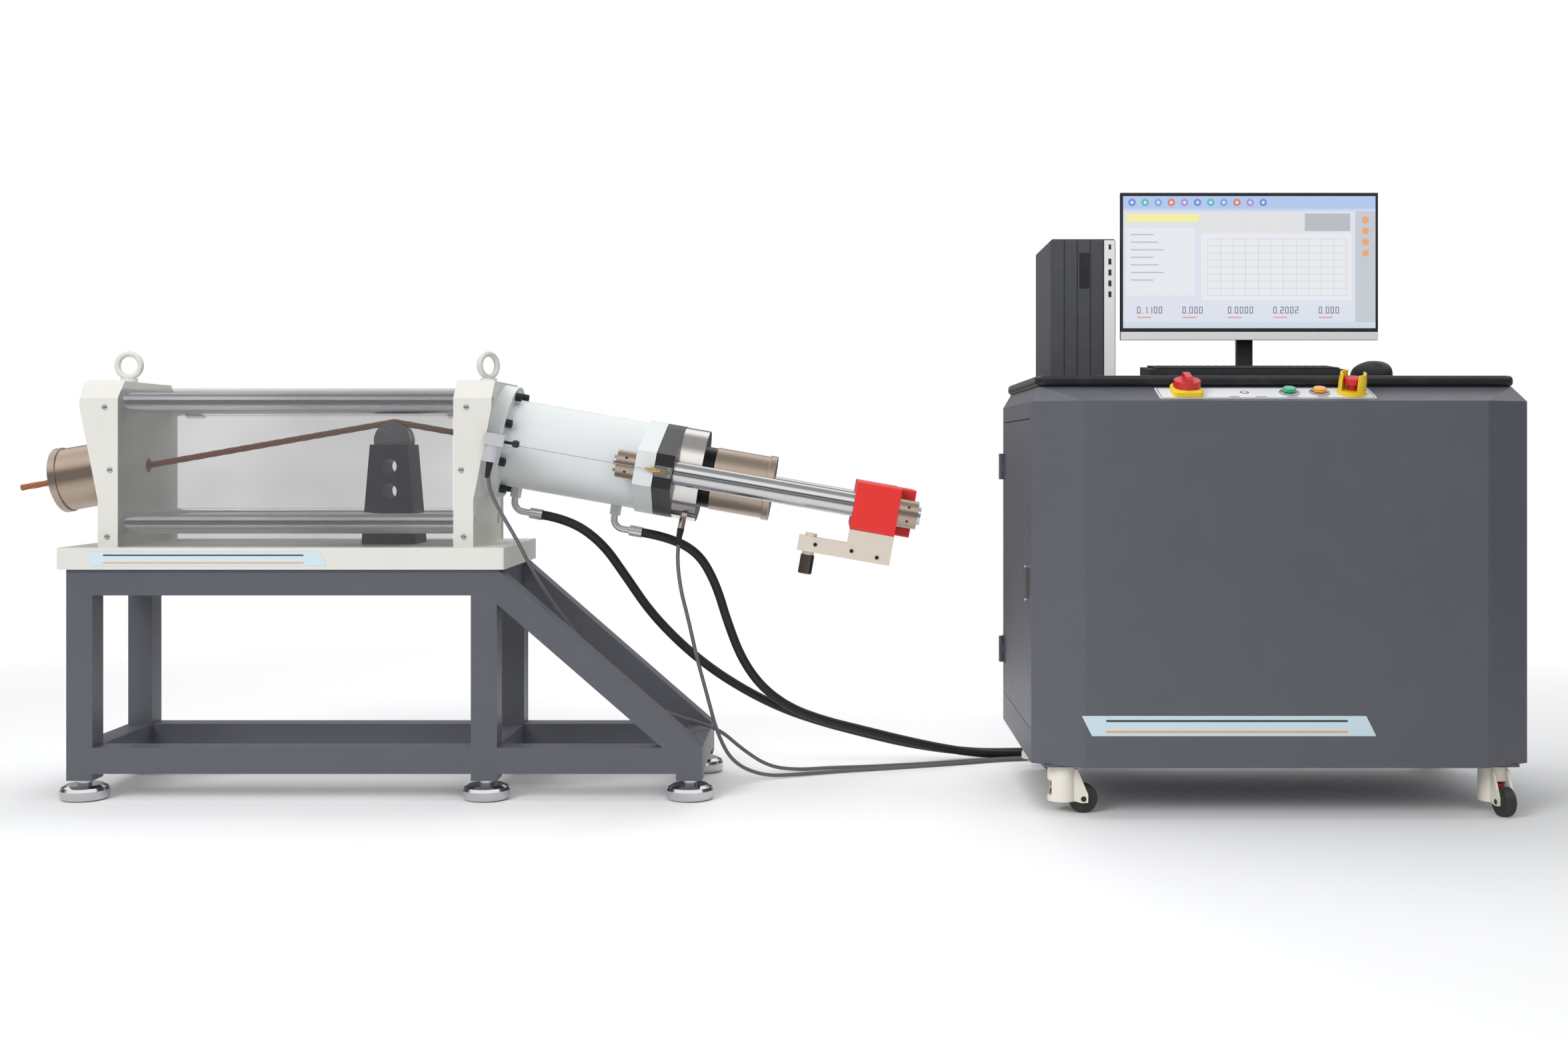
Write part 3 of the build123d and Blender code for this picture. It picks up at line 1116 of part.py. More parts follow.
def make_casters():
    """Four casters under the cabinet, standing as they were last rolled."""
    left = CABINET_LEFT + CASTER_INSET_X
    right = CABINET_RIGHT - CASTER_INSET_X
    front = CABINET_FRONT + CASTER_FRONT_INSET
    rear = CABINET_REAR - CASTER_REAR_INSET
    stations = (
        (left, front, "front_left", 0),
        (right, front, "front_right", -80),
        (left, rear, "rear_left", -20),
        (right, rear, "rear_right", 30),
    )
    return [make_caster(x, y, tag, turn) for x, y, tag, turn in stations]


def make_computer():
    """Tower case with a slotted front and small feet, and the monitor on its stand."""
    wide, deep, high = TOWER_SIZE
    low = WORKTOP_TOP + TOWER_FOOT_H
    case = block(0, wide, 0, deep, low, WORKTOP_TOP + high)
    case = fillet(case.edges().filter_by(Axis.Y).group_by(Axis.Z)[-1], 6)
    bay = wide / 6
    for i in range(1, 5):
        groove = block(i * bay - 1, i * bay + 1, 0, TOWER_BEZEL / 6, low, WORKTOP_TOP + high)
        case -= groove
    strip = Pos(5 * bay + bay / 2, 0, 0)
    for i in range(4):
        z = WORKTOP_TOP + high * (0.57 + 0.075 * i)
        case -= strip * block(-3, 3, 0, TOWER_BEZEL / 2, z - 7, z + 7)
    for x in (15, wide - 15):
        for y in (15, deep - 15):
            case += Pos(x, y, 0) * disc(16, WORKTOP_TOP, low)
    keep("computer_tower", Pos(CABINET_LEFT + TOWER_X, WORKTOP_FRONT + TOWER_INSET, 0) * case)

    wide, high = MONITOR_SIZE
    top = MONITOR_BOTTOM + high
    back = MONITOR_PANEL + MONITOR_BULGE
    head = block(-wide / 2, wide / 2, 0, MONITOR_PANEL, MONITOR_BOTTOM, top)
    half = wide / 2 - MONITOR_SWELL_SIDE
    low = MONITOR_BOTTOM + MONITOR_SWELL_LOW
    swell = block(-half, half, MONITOR_PANEL, back, low, top - MONITOR_SWELL_HIGH)
    head += chamfer(swell.faces().sort_by(Axis.Y)[-1].edges(), MONITOR_BULGE * 0.8)
    pivot_y = back + MONITOR_PIVOT_D / 2 + MONITOR_PIVOT_GAP
    turn = Pos(0, pivot_y, MONITOR_PIVOT_Z) * Rot(0, 90, 0)
    lug_w = MONITOR_NECK_W
    lug_gap = MONITOR_LUG_GAP
    lug_half = MONITOR_PIVOT_D / 2
    for side in (-1, 1):
        lug_x = side * (lug_w / 2 + lug_gap + lug_w / 4)
        z = MONITOR_PIVOT_Z
        lug = block(-lug_w / 4, lug_w / 4, back, pivot_y, z - lug_half, z + lug_half)
        lug += turn * Cylinder(lug_half, lug_w / 2)
        head += Pos(lug_x, 0, 0) * lug
    bore = MONITOR_PIVOT_D / 4
    head -= turn * Cylinder(bore + RUNNING_GAP, 3 * lug_w)
    place = Pos(CABINET_LEFT + MONITOR_X, WORKTOP_FRONT + MONITOR_INSET, 0)
    keep("monitor_head", place * head)

    base_w, base_d, base_h = MONITOR_BASE
    base_top = WORKTOP_TOP + base_h
    foot_y = pivot_y - base_d * MONITOR_FOOT_FORWARD
    foot = block(-base_w / 2, base_w / 2, foot_y, foot_y + base_d, WORKTOP_TOP, base_top)
    foot = fillet(foot.edges().filter_by(Axis.Z), MONITOR_FOOT_CORNER)
    foot = chamfer(foot.faces().sort_by(Axis.Z)[-1].edges(), base_h * 0.6)
    neck_y = pivot_y - MONITOR_NECK_D / 2
    neck = block(-lug_w / 2, lug_w / 2, neck_y, neck_y + MONITOR_NECK_D, base_top, MONITOR_PIVOT_Z)
    stand = foot + neck + turn * Cylinder(MONITOR_PIVOT_D / 2, lug_w)
    stand += turn * Cylinder(bore, 2 * lug_w + 2 * lug_gap)
    keep("monitor_stand", place * stand)


def make_keyboard():
    """Wedge keyboard with a raised key field, and a mouse."""
    wide, deep = KEYBOARD_SIZE
    x0 = CABINET_LEFT + KEYBOARD_X - wide / 2
    y0 = WORKTOP_FRONT + KEYBOARD_INSET
    front = WORKTOP_TOP + KEYBOARD_FRONT_H
    back = WORKTOP_TOP + KEYBOARD_BACK_H
    side = [(y0, WORKTOP_TOP), (y0, front), (y0 + deep, back), (y0 + deep, WORKTOP_TOP)]
    face = make_face(Polyline(*[(x0, y, z) for y, z in side], close=True))
    board = extrude(face, wide, dir=(1, 0, 0))
    board = fillet(board.edges().filter_by(Axis.Z), 6)
    tilt = math.degrees(math.atan2(back - front, deep))
    lie = Pos(x0 + wide / 2, y0 + deep / 2, (front + back) / 2) * Rot(tilt, 0, 0)
    keys = []
    for row in range(KEY_ROWS):
        for column in range(KEY_COLUMNS):
            x = KEY_PITCH * (column - (KEY_COLUMNS - 1) / 2)
            y = KEY_PITCH * (row - (KEY_ROWS - 1) / 2)
            keys.append(Pos(x, y, KEY_H / 2 - 0.5) * Box(KEY_TOP, KEY_TOP, KEY_H))
    keep("keyboard", board + lie * Compound(children=keys))

    wide, deep, high = MOUSE_SIZE
    dome = scale(Sphere(1), by=(wide / 2, deep / 2, high))
    dome -= block(-wide, wide, -deep, deep, -2 * high, 0)
    place = Pos(CABINET_LEFT + MOUSE_X, WORKTOP_FRONT + MOUSE_INSET, WORKTOP_TOP)
    keep("mouse", place * Rot(0, 0, MOUSE_TURN) * dome)


def make_power_pack():
    """Oil tank, motor with its pump, and valve block on the cabinet's floor."""
    wide, deep, high = TANK_SIZE
    floor = CABINET_BOTTOM + SHEET
    x = CABINET_LEFT + TANK_X
    tank = block(-wide / 2, wide / 2, -deep / 2, deep / 2, floor, floor + high)
    tank = fillet(tank.edges().filter_by(Axis.Z), 12)
    lid = floor + high
    motor = Pos(-wide / 8, 0, lid + MOTOR_D / 2) * Rot(0, 90, 0) * Cylinder(MOTOR_D / 2, MOTOR_L)
    cradle = Box(MOTOR_L * 2 / 3, MOTOR_D * 2 / 3, MOTOR_D / 3)
    motor += Pos(-wide / 8, 0, lid + MOTOR_D / 6) * cradle
    valve_w, valve_d, valve_h = VALVE_SIZE
    valve_x = wide / 2 - valve_w / 2
    valve = block(valve_x - valve_w / 2, valve_x + valve_w / 2, -valve_d / 2, valve_d / 2, lid, lid + valve_h)
    keep("power_pack", *[Pos(x, TANK_Y, 0) * solid for solid in (tank, motor, valve)])


make_stand()
make_load_frame()
make_mandrel()
make_passive_anchor()
make_cylinder()
make_piston()
make_stop_beam()
make_wire_sensor()
make_fittings()
make_cords()
make_cabinet()
make_controls()
make_computer()
make_keyboard()
make_power_pack()

os.makedirs("parts", exist_ok=True)
for node_name, shape in nodes.items():
    export_step(shape, f"parts/{node_name}.step")
print(len(nodes), "nodes")
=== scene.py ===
"""Looks of the strand testing machine and its control console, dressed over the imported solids."""
import math

import bpy
import numpy as np
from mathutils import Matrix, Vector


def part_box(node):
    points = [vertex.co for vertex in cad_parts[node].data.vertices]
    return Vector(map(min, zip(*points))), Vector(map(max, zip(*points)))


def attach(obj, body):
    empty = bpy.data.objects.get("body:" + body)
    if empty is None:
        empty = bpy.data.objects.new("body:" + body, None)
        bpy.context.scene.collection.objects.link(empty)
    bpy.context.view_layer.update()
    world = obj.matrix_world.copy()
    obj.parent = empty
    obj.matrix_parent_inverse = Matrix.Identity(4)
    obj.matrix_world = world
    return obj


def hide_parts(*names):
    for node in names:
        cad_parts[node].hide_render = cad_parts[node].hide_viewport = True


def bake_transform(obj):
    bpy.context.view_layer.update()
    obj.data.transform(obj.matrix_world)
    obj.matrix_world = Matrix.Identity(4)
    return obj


bl_info = {
    "name": "Strand tester looks",
    "version": (1, 0, 0),
    "blender": (4, 5, 0),
    "location": "View3D > Sidebar > Strand tester",
    "description": "Finishes, cords and small fittings of a deflected tensile testing machine",
    "category": "Object",
}

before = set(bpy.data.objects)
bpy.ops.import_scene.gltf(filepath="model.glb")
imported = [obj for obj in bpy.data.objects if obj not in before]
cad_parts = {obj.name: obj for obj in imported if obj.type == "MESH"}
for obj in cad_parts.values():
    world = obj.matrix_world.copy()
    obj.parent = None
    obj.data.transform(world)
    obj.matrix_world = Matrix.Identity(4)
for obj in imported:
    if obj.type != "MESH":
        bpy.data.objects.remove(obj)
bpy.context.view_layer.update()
MACHINE = "machine"
HEAD = "pulled_head"

# Axes and places repeated from the solids, in metres: the strand, from its top on the mandrel
SLOPE = math.radians(10)
SIN = math.sin(SLOPE)
COS = math.cos(SLOPE)
STRAND_END = -1.75
MACHINE_Y = 0.055
STRAND_R = 0.0076
STRAND_LEFT = 0.914
STRAND_RIGHT = 0.790
BEND_R = 0.044
APEX = np.array([STRAND_END + STRAND_LEFT * COS + STRAND_R * SIN, MACHINE_Y, 0.874])
LEFT_AXIS = np.array([-COS, 0, -SIN])
RIGHT_AXIS = np.array([COS, 0, -SIN])
RIGHT_UP = np.array([SIN, 0, COS])
FRONT = np.array([0, -1.0, 0])
FACE_AXES = np.array([(1, 0, 0), (0, 0, 1), FRONT])
CYLINDER_AXES = np.array([RIGHT_UP, FRONT, RIGHT_AXIS])

# The end covers, and what sits on the cylinder, along its bore from its seat
LEFT_FACE = APEX[0] - 0.593
RIGHT_FACE = APEX[0] + 0.182
COVER_HALF = 0.183
SEAT = APEX + RIGHT_AXIS * (0.224 * COS + 0.18 * SIN)
PORT_STATIONS = (0.139, 0.383)
PORT_DROP = 0.159
SENSOR_OUT = 0.193
WIRE_START = 0.083
WIRE_END = 0.4255
CLIP_FRONT = 0.186
HANDLE_FRONT = 0.18705
CELL_MIDDLE = 0.4765
CELL_R = 0.110
PLUG_R = 0.016
PLUG_L = 0.030
LEAD_OUT = 0.05
COLLAR_END = 0.5315

# The console and its sloped panel
CONSOLE_LEFT = 0.65
CONSOLE_REAR = 0.35
PANEL_RUN = math.hypot(0.034, 0.1)
PANEL_OUT = np.array([0, -0.034, 0.1]) / PANEL_RUN
PANEL_BACK = np.array([0, 0.1, 0.034]) / PANEL_RUN
PANEL_LEFT = np.array([CONSOLE_LEFT, -0.3, 0.931])
PLATE_THICK = 0.0015
CASTERS = {
    "front_left": (0.720, -0.268),
    "front_right": (1.680, -0.268),
    "rear_left": (0.720, 0.262),
    "rear_right": (1.680, 0.262),
}
MOUSE_AT = np.array([1.446, -0.150, 0.973])
MOUSE_TURN = math.radians(28)

# The photograph's frame, in its own pixels, and where it was taken from
PHOTO_WIDE = 2352
PHOTO_TALL = 1568
FOCAL = 2600
CENTRE = (1250, 676)
CAMERA_AT = (0.211, -4.130, 0.805)


def on_cylinder(up, front, along):
    """A point given in the cylinder's own axes: up, towards the operator, along the bore."""
    return SEAT + RIGHT_UP * up + FRONT * front + RIGHT_AXIS * along


def on_panel(right, back, out):
    """A point given in the sloped panel's axes, from the cabinet's left side."""
    return PANEL_LEFT + np.array([right, 0, 0]) + PANEL_BACK * back + PANEL_OUT * out


class Val:
    """One socket of a node tree, so that shader maths reads as plain expressions."""

    def __init__(self, nodes, socket):
        self.nodes = nodes
        self.socket = socket

    def math(self, operation, first, second):
        """A Math node on two values."""
        return self.nodes.add("ShaderNodeMath", {"operation": operation}, {0: first, 1: second})

    def __add__(self, other):
        return self.math("ADD", self, other)

    __radd__ = __add__

    def __sub__(self, other):
        return self.math("SUBTRACT", self, other)

    def __rsub__(self, other):
        return self.math("SUBTRACT", other, self)

    def __mul__(self, other):
        return self.math("MULTIPLY", self, other)

    __rmul__ = __mul__

    def __gt__(self, other):
        return self.math("GREATER_THAN", self, other)


class Nodes:
    """A node tree that is built from expressions."""

    def __init__(self, tree):
        self.tree = tree

    def put(self, socket, value):
        """Links a value, or writes a constant, into a socket."""
        if isinstance(value, Val):
            self.tree.links.new(value.socket, socket)
        else:
            socket.default_value = value

    def add(self, kind, settings=None, inputs=None, out=0):
        """Adds any node: its settings or a ramp's stops first, then the values or links of its sockets."""
        node = self.tree.nodes.new(kind)
        for key, value in (settings or {}).items():
            if key == "stops":
                self.set_stops(node.color_ramp.elements, value)
            else:
                setattr(node, key, value)
        for key, value in (inputs or {}).items():
            self.put(node.inputs[key], value)
        return Val(self, node.outputs[out])

    def set_stops(self, elements, stops):
        """Writes (position, grey) stops into a ramp."""
        while len(elements) < len(stops):
            elements.new(0.5)
        for element, (position, grey) in zip(elements, stops):
            element.position = position
            element.color = (grey, grey, grey, 1)

    def ramp(self, value, stops):
        """Value remapped by (position, grey) stops."""
        return self.add("ShaderNodeValToRGB", {"stops": stops}, {0: value})

    def mix(self, factor, first, second):
        """Blend of two colours."""
        return self.add("ShaderNodeMix", {"data_type": "RGBA"}, {0: factor, 6: first, 7: second}, 2)


class Finish(Nodes):
    """A material with one principled shader."""

    def __init__(self, name, **constants):
        self.material = bpy.data.materials.new(name)
        self.material.use_nodes = True
        super().__init__(self.material.node_tree)
        self.shader = self.tree.nodes["Principled BSDF"]
        self.drive(**constants)

    def drive(self, **values):
        """Feeds constants, or what changes over the surface, into the shader."""
        for socket, value in values.items():
            self.put(self.shader.inputs[socket.replace("_", " ")], value)
        return self.material

    def place(self, stretch=(1, 1, 1), turn=(0, 0, 0)):
        """Object coordinates, turned and stretched."""
        where = self.add("ShaderNodeTexCoord", out="Object")
        return self.add("ShaderNodeMapping", None, {"Vector": where, "Rotation": turn, "Scale": stretch})

    def noise(self, scale, detail=3.0, rough=0.5, where=None):
        """Fractal noise between 0 and 1."""
        inputs = {"Vector": where or self.place(), "Scale": scale, "Detail": detail, "Roughness": rough}
        return self.add("ShaderNodeTexNoise", None, inputs)

    def bump(self, height, strength, distance):
        """Normal from a height."""
        inputs = {"Height": height, "Strength": strength, "Distance": distance}
        return self.add("ShaderNodeBump", None, inputs)


def shade(colour, factor):
    """A colour made lighter or darker, with full alpha."""
    return tuple(min(1.0, c * factor) for c in colour[:3]) + (1.0,)


def paint(name, colour, rough, peel=900.0, peel_depth=0.00006, worn=0.12):
    """Stoved paint: a fine orange peel, slow drifts of tone, and faint rubbed patches."""
    f = Finish(name, Specular_IOR_Level=0.45)
    drift = f.noise(2.3, 2)
    rub = f.ramp(f.noise(14, 6, 0.62), [(0.46, 0.0), (0.74, 1.0)])
    tone = f.mix(drift, shade(colour, 0.93), shade(colour, 1.06))
    tone = f.mix(rub * worn, tone, shade(colour, 1.35))
    skin = f.noise(peel, 2)
    return f.drive(
        Base_Color=tone,
        Roughness=drift * 0.08 + rub * 0.06 + (rough - 0.05),
        Normal=f.bump(skin, 0.5, peel_depth),
    )


def along_bore(f):
    """Distance along the cylinder's bore, from its seat."""
    inputs = {0: f.place(), 1: RIGHT_AXIS}
    along = f.add("ShaderNodeVectorMath", {"operation": "DOT_PRODUCT"}, inputs, "Value")
    return along - float(SEAT @ RIGHT_AXIS)


def metal(name, colour, rough, stretch, turn=(0, 0, 0), depth=0.00002, smear=0.10, bare=1.0, collar=None):
    """Machined metal: long fine scratches along one direction and slow cloudy stains.

    bare is the share that mirrors; where collar is given, the metal is blackened along the bore up to it.
    """
    f = Finish(name, Metallic=bare)
    lines = f.noise(900, 2, 0.6, f.place(stretch, turn))
    cloud = f.noise(11, 4)
    tone = f.mix(lines, shade(colour, 0.86), shade(colour, 1.08))
    tone = f.mix(cloud * 0.35, tone, shade(colour, 0.8))
    if collar is not None:
        tone = f.mix(along_bore(f) > collar, (0.02, 0.02, 0.02, 1), tone)
    return f.drive(
        Base_Color=tone,
        Roughness=lines * smear + cloud * 0.06 + (rough - smear / 2),
        Normal=f.bump(lines, 0.4, depth),
    )


def plastic(name, colour, rough, grain=1600.0, depth=0.00005, **more):
    """Moulded plastic or rubber: spark-eroded grain and a little dust."""
    f = Finish(name, **more)
    grit = f.noise(grain, 3)
    dust = f.ramp(f.noise(26, 5), [(0.5, 0.0), (0.85, 1.0)])
    tone = f.mix(dust * 0.035, shade(colour, 1.0), (0.4, 0.4, 0.4, 1))
    return f.drive(Base_Color=tone, Roughness=dust * 0.1 + rough, Normal=f.bump(grit, 0.35, depth))


def acrylic(name):
    """Clear sheet: a grey tint in soft clouds, partly the sheet's own tint and partly painted dark
    reflection, and fine scratches that dull its gloss.
    """
    f = Finish(name, Base_Color=(0.12, 0.12, 0.128, 1), Specular_IOR_Level=0.6, IOR=1.49)
    # the cloudy dark grey cover is partly the sheet's real tint and partly painted dark reflection
    cloud = f.ramp(f.noise(2.1, 2, 0.5, f.place((1, 1, 1.6))), [(0.3, 0.20), (0.7, 0.34)])
    scratch = f.noise(300, 2, 0.5, f.place((0.05, 1, 1)))
    return f.drive(Alpha=cloud, Roughness=scratch * 0.06 + 0.02)


def cell_steel(name):
    """Polished ring with fine turning lines."""
    f = Finish(name, Metallic=1.0)
    lines = f.noise(600, 2, 0.6, f.place((1, 0.05, 1), (0, SLOPE, 0)))
    return f.drive(
        Base_Color=f.mix(lines, (0.54, 0.52, 0.50, 1), (0.74, 0.72, 0.69, 1)),
        Roughness=lines * 0.08 + 0.12,
        Normal=f.bump(lines, 0.3, 0.00002),
    )


def braid(name, colour):
    """Woven sleeve: two crossing sets of fine bands give small raised cells, with painted shade in the gaps
    between them and a painted highlight on their tops.
    """
    f = Finish(name)
    one, other = (
        f.add("ShaderNodeTexWave", {"bands_direction": "DIAGONAL"}, {"Vector": where, "Scale": 120.0})
        for where in (f.place(), f.place((1, 1, -1)))
    )
    weave = one * other
    # painted shade and highlight: the colour is darkened in the weave's gaps and lightened on its raised
    # cells
    tone = f.mix(weave, shade(colour, 0.6), shade(colour, 1.3))
    return f.drive(Base_Color=tone, Roughness=weave * -0.15 + 0.62, Normal=f.bump(weave, 0.6, 0.0004))


def printed(name, glow=0.0, rough=0.4):
    """Flat print or display: takes its colours from the mesh's own colour attribute."""
    f = Finish(name, Base_Color=(0.02, 0.02, 0.02, 1), Emission_Strength=glow)
    ink = f.add("ShaderNodeVertexColor", {"layer_name": "ink"})
    tooth = f.noise(700, 2)
    tone = f.mix(tooth * 0.05, ink, (0.5, 0.5, 0.5, 1))
    f.drive(Roughness=tooth * 0.08 + rough)
    return f.drive(Emission_Color=tone) if glow else f.drive(Base_Color=tone)


def new_piece(name, vertices, faces, material, body=MACHINE, slot=None, smooth=True):
    """Links a mesh object at the origin, with its material and the body that it rides on."""
    mesh = bpy.data.meshes.new(name)
    mesh.from_pydata(vertices.tolist(), [], faces)
    mesh.validate()
    mesh.polygons.foreach_set("use_smooth", np.full(len(mesh.polygons), smooth))
    piece = bpy.data.objects.new(name, mesh)
    bpy.context.scene.collection.objects.link(piece)
    mesh.materials.append(material)
    if body:
        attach(piece, body)
    return piece


def grid_faces(rows, columns, wrap):
    """Quads of a rows by columns grid; wrap joins the last column to the first."""
    across = columns if wrap else columns - 1
    i, j = np.meshgrid(np.arange(rows - 1), np.arange(across), indexing="ij")
    k = (j + 1) % columns
    corners = [i * columns + j, i * columns + k, (i + 1) * columns + k, (i + 1) * columns + j]
    return np.stack(corners, -1).reshape(-1, 4).tolist()


def closed(points, faces, sides):
    """Closes the first and the last ring of a shape by flat faces."""
    last = len(points) - sides
    return points, faces + [list(range(sides))[::-1], list(range(last, last + sides))]


def lathe(profile, axis, foot, sides=32):
    """Radius and height points turned about an axis: foot + h axis + r (cos a e1 + sin a e2)."""
    axis = np.asarray(axis, float) / np.linalg.norm(axis)
    helper = np.array([1.0, 0, 0]) if abs(axis[0]) < 0.7 else np.array([0, 1.0, 0])
    e1 = np.cross(axis, helper)
    e1 /= np.linalg.norm(e1)
    e2 = np.cross(axis, e1)
    r, h = np.asarray(profile, float).T
    a = np.linspace(0, 2 * math.pi, sides, endpoint=False)
    around = np.cos(a)[:, None] * e1 + np.sin(a)[:, None] * e2
    points = foot + h[:, None, None] * axis + r[:, None, None] * around[None]
    return points.reshape(-1, 3), grid_faces(len(r), sides, True)


def capped(profile, axis, foot, sides=32):
    """A lathe shape whose first and last rings are closed by flat faces."""
    return closed(*lathe(profile, axis, foot, sides), sides)


def merged(shapes):
    """Several (points, faces) shapes as one mesh."""
    points, faces = zip(*shapes)
    starts = np.cumsum([0] + [len(part) for part in points])
    moved = [[i + start for i in face] for start, part in zip(starts.tolist(), faces) for face in part]
    return np.concatenate(points), moved


def slab(low, high, axes, origin, bevel=0.0):
    """A box between two corners in given axes, its top edges drawn in by a bevel."""
    (x0, y0, z0), (x1, y1, z1) = low, high
    inset = np.array([0, 0, bevel])[:, None]
    x = np.array([x0, x1, x1, x0]) + inset * (1, -1, -1, 1)
    y = np.array([y0, y0, y1, y1]) + inset * (1, 1, -1, -1)
    z = np.array([z0, z1 - bevel, z1])[:, None] + 0 * x
    points = origin + np.stack([x, y, z], -1).reshape(-1, 3) @ np.asarray(axes, float)
    return closed(points, grid_faces(3, 4, True), 4)


def tube(path, radius, sides=14):
    """A round section carried along a path: p + r (cos a n + sin a b), closed at both ends."""
    path = np.asarray(path, float)
    tangent = np.gradient(path, axis=0)
    tangent /= np.linalg.norm(tangent, axis=1)[:, None]
    normal = np.cross(tangent, [0.0, 1.0, 0.0])
    normal /= np.linalg.norm(normal, axis=1)[:, None]
    other = np.cross(tangent, normal)
    a = np.linspace(0, 2 * math.pi, sides, endpoint=False)
    around = np.cos(a)[None, :, None] * normal[:, None] + np.sin(a)[None, :, None] * other[:, None]
    radius = np.broadcast_to(np.asarray(radius, float), len(path))
    points = path[:, None] + radius[:, None, None] * around
    return closed(points.reshape(-1, 3), grid_faces(len(path), sides, True), sides)


class Colours(bpy.types.PropertyGroup):
    """Paint and plating colours that a user would change."""

    slate: bpy.props.FloatVectorProperty(
        name="Slate paint", description="Stand and cabinet", subtype="COLOR", default=(0.094, 0.097, 0.116)
    )
    cream: bpy.props.FloatVectorProperty(
        name="Cream paint", description="Load frame", subtype="COLOR", default=(0.66, 0.65, 0.605)
    )
    cool_white: bpy.props.FloatVectorProperty(
        name="Cool white paint", description="Cylinder", subtype="COLOR", default=(0.63, 0.655, 0.655)
    )
    red: bpy.props.FloatVectorProperty(
        name="Red paint", description="Stop beam", subtype="COLOR", default=(0.72, 0.03, 0.025)
    )
    bronze: bpy.props.FloatVectorProperty(
        name="Bronze plating", description="Cups, nuts and knob", subtype="COLOR", default=(0.46, 0.37, 0.30)
    )
    band: bpy.props.FloatVectorProperty(
        name="Band", description="Plain pale band on the fronts", subtype="COLOR", default=(0.55, 0.68, 0.74)
    )


class Sizes(bpy.types.PropertyGroup):
    """Sizes of the small pieces that a user would change."""

    wire_d: bpy.props.FloatProperty(
        name="Strand wire", description="Diameter of one wire of the strand", unit="LENGTH", default=0.005
    )
    lay_length: bpy.props.FloatProperty(
        name="Lay length", description="Length of one turn of the strand", unit="LENGTH", default=0.22
    )
    hose_d: bpy.props.FloatProperty(
        name="Hose", description="Outer diameter of the hoses", unit="LENGTH", default=0.022
    )
    cable_d: bpy.props.FloatProperty(
        name="Cable", description="Outer diameter of the signal cables", unit="LENGTH", default=0.009
    )
    screw_d: bpy.props.FloatProperty(
        name="Cover screw", description="Head of a cover screw", unit="LENGTH", default=0.013
    )


FINISHES = {}


def make_finishes(c):
    """Every finish of the set, once, with the user's colours c."""
    FINISHES.update(
        slate=paint("slate_paint", c.slate, 0.42, 1400, 0.00009, 0.10),
        cream=paint("cream_paint", c.cream, 0.45, 700, 0.00007, 0.06),
        cool=paint("cool_white_paint", c.cool_white, 0.40, 700, 0.00006, 0.06),
        red=paint("red_paint", c.red, 0.36, 900, 0.00005, 0.05),
        black=paint("black_paint", (0.018, 0.018, 0.02), 0.38, 900, 0.00005, 0.10),
        caster=plastic("caster_shell", (0.78, 0.74, 0.64), 0.45),
        chrome=metal("plated_chrome", (0.60, 0.60, 0.61), 0.13, (0.03, 1, 1), (0, SLOPE, 0), 0.00001, 0.06),
        ground=metal("ground_steel", (0.56, 0.56, 0.57), 0.24, (0.03, 1, 1)),
        bar=metal("plated_bar", (0.92, 0.92, 0.94), 0.15, (0.03, 1, 1), (0, 0, 0), 0.00001, 0.06),
        nickel=metal("nickel_plate", (0.80, 0.71, 0.61), 0.36, (0.1, 1, 1), (0, SLOPE, 0), bare=0.3),
        fitting=metal("zinc_fitting", (0.70, 0.70, 0.68), 0.26, (1, 1, 0.05), bare=0.8),
        dark=metal("blackened_steel", (0.055, 0.058, 0.065), 0.42, (0.2, 1, 1)),
        bronze=metal("bronze_plate", c.bronze, 0.30, (1, 0.08, 1), (0, SLOPE, 0), 0.00003),
        cup=metal("cup_bronze", c.bronze, 0.30, (1, 0.08, 1), (0, SLOPE, 0), 0.00003, collar=COLLAR_END),
        knob=metal("knob_bronze", (0.17, 0.135, 0.11), 0.28, (1, 0.08, 1), (0, SLOPE, 0), 0.00003),
        brass=metal("clip_brass", (0.70, 0.52, 0.22), 0.30, (1, 1, 0.1)),
        wire=metal("drawn_wire", (0.47, 0.19, 0.10), 0.46, (0.06, 1, 1), (0, -SLOPE, 0), 0.00005, bare=0.5),
        alloy=metal("satin_alloy", (0.64, 0.65, 0.67), 0.36, (1, 1, 0.06), bare=0.4),
        clear=acrylic("clear_sheet"),
        cell=cell_steel("load_cell_steel"),
        rubber=plastic("hose_rubber", (0.012, 0.012, 0.013), 0.55, 500, 0.0002),
        sleeve=braid("cable_sleeve", (0.17, 0.17, 0.18)),
        laminate=plastic("worktop_laminate", (0.012, 0.012, 0.014), 0.34, 420, 0.00012),
        case=plastic("black_case", (0.022, 0.023, 0.026), 0.46, Specular_IOR_Level=0.35),
        dark_grey=plastic("grey_case", (0.072, 0.074, 0.082), 0.55, Specular_IOR_Level=0.25),
        silver=plastic("silver_trim", (0.80, 0.80, 0.81), 0.34),
        white=plastic("white_plate", (0.74, 0.75, 0.76), 0.38),
        yellow=plastic("yellow_plastic", (0.86, 0.60, 0.02), 0.34),
        red_plastic=plastic("red_plastic", (0.55, 0.02, 0.02), 0.32),
        green_lens=plastic("green_lens", (0.02, 0.42, 0.20), 0.2, Coat_Weight=0.6),
        amber_lens=plastic("amber_lens", (0.85, 0.36, 0.02), 0.2, Coat_Weight=0.6),
        tread=plastic("caster_tread", (0.02, 0.02, 0.02), 0.5, 700, 0.0001),
        print=printed("plain_print"),
        display=printed("display", 0.92, 0.25),
    )


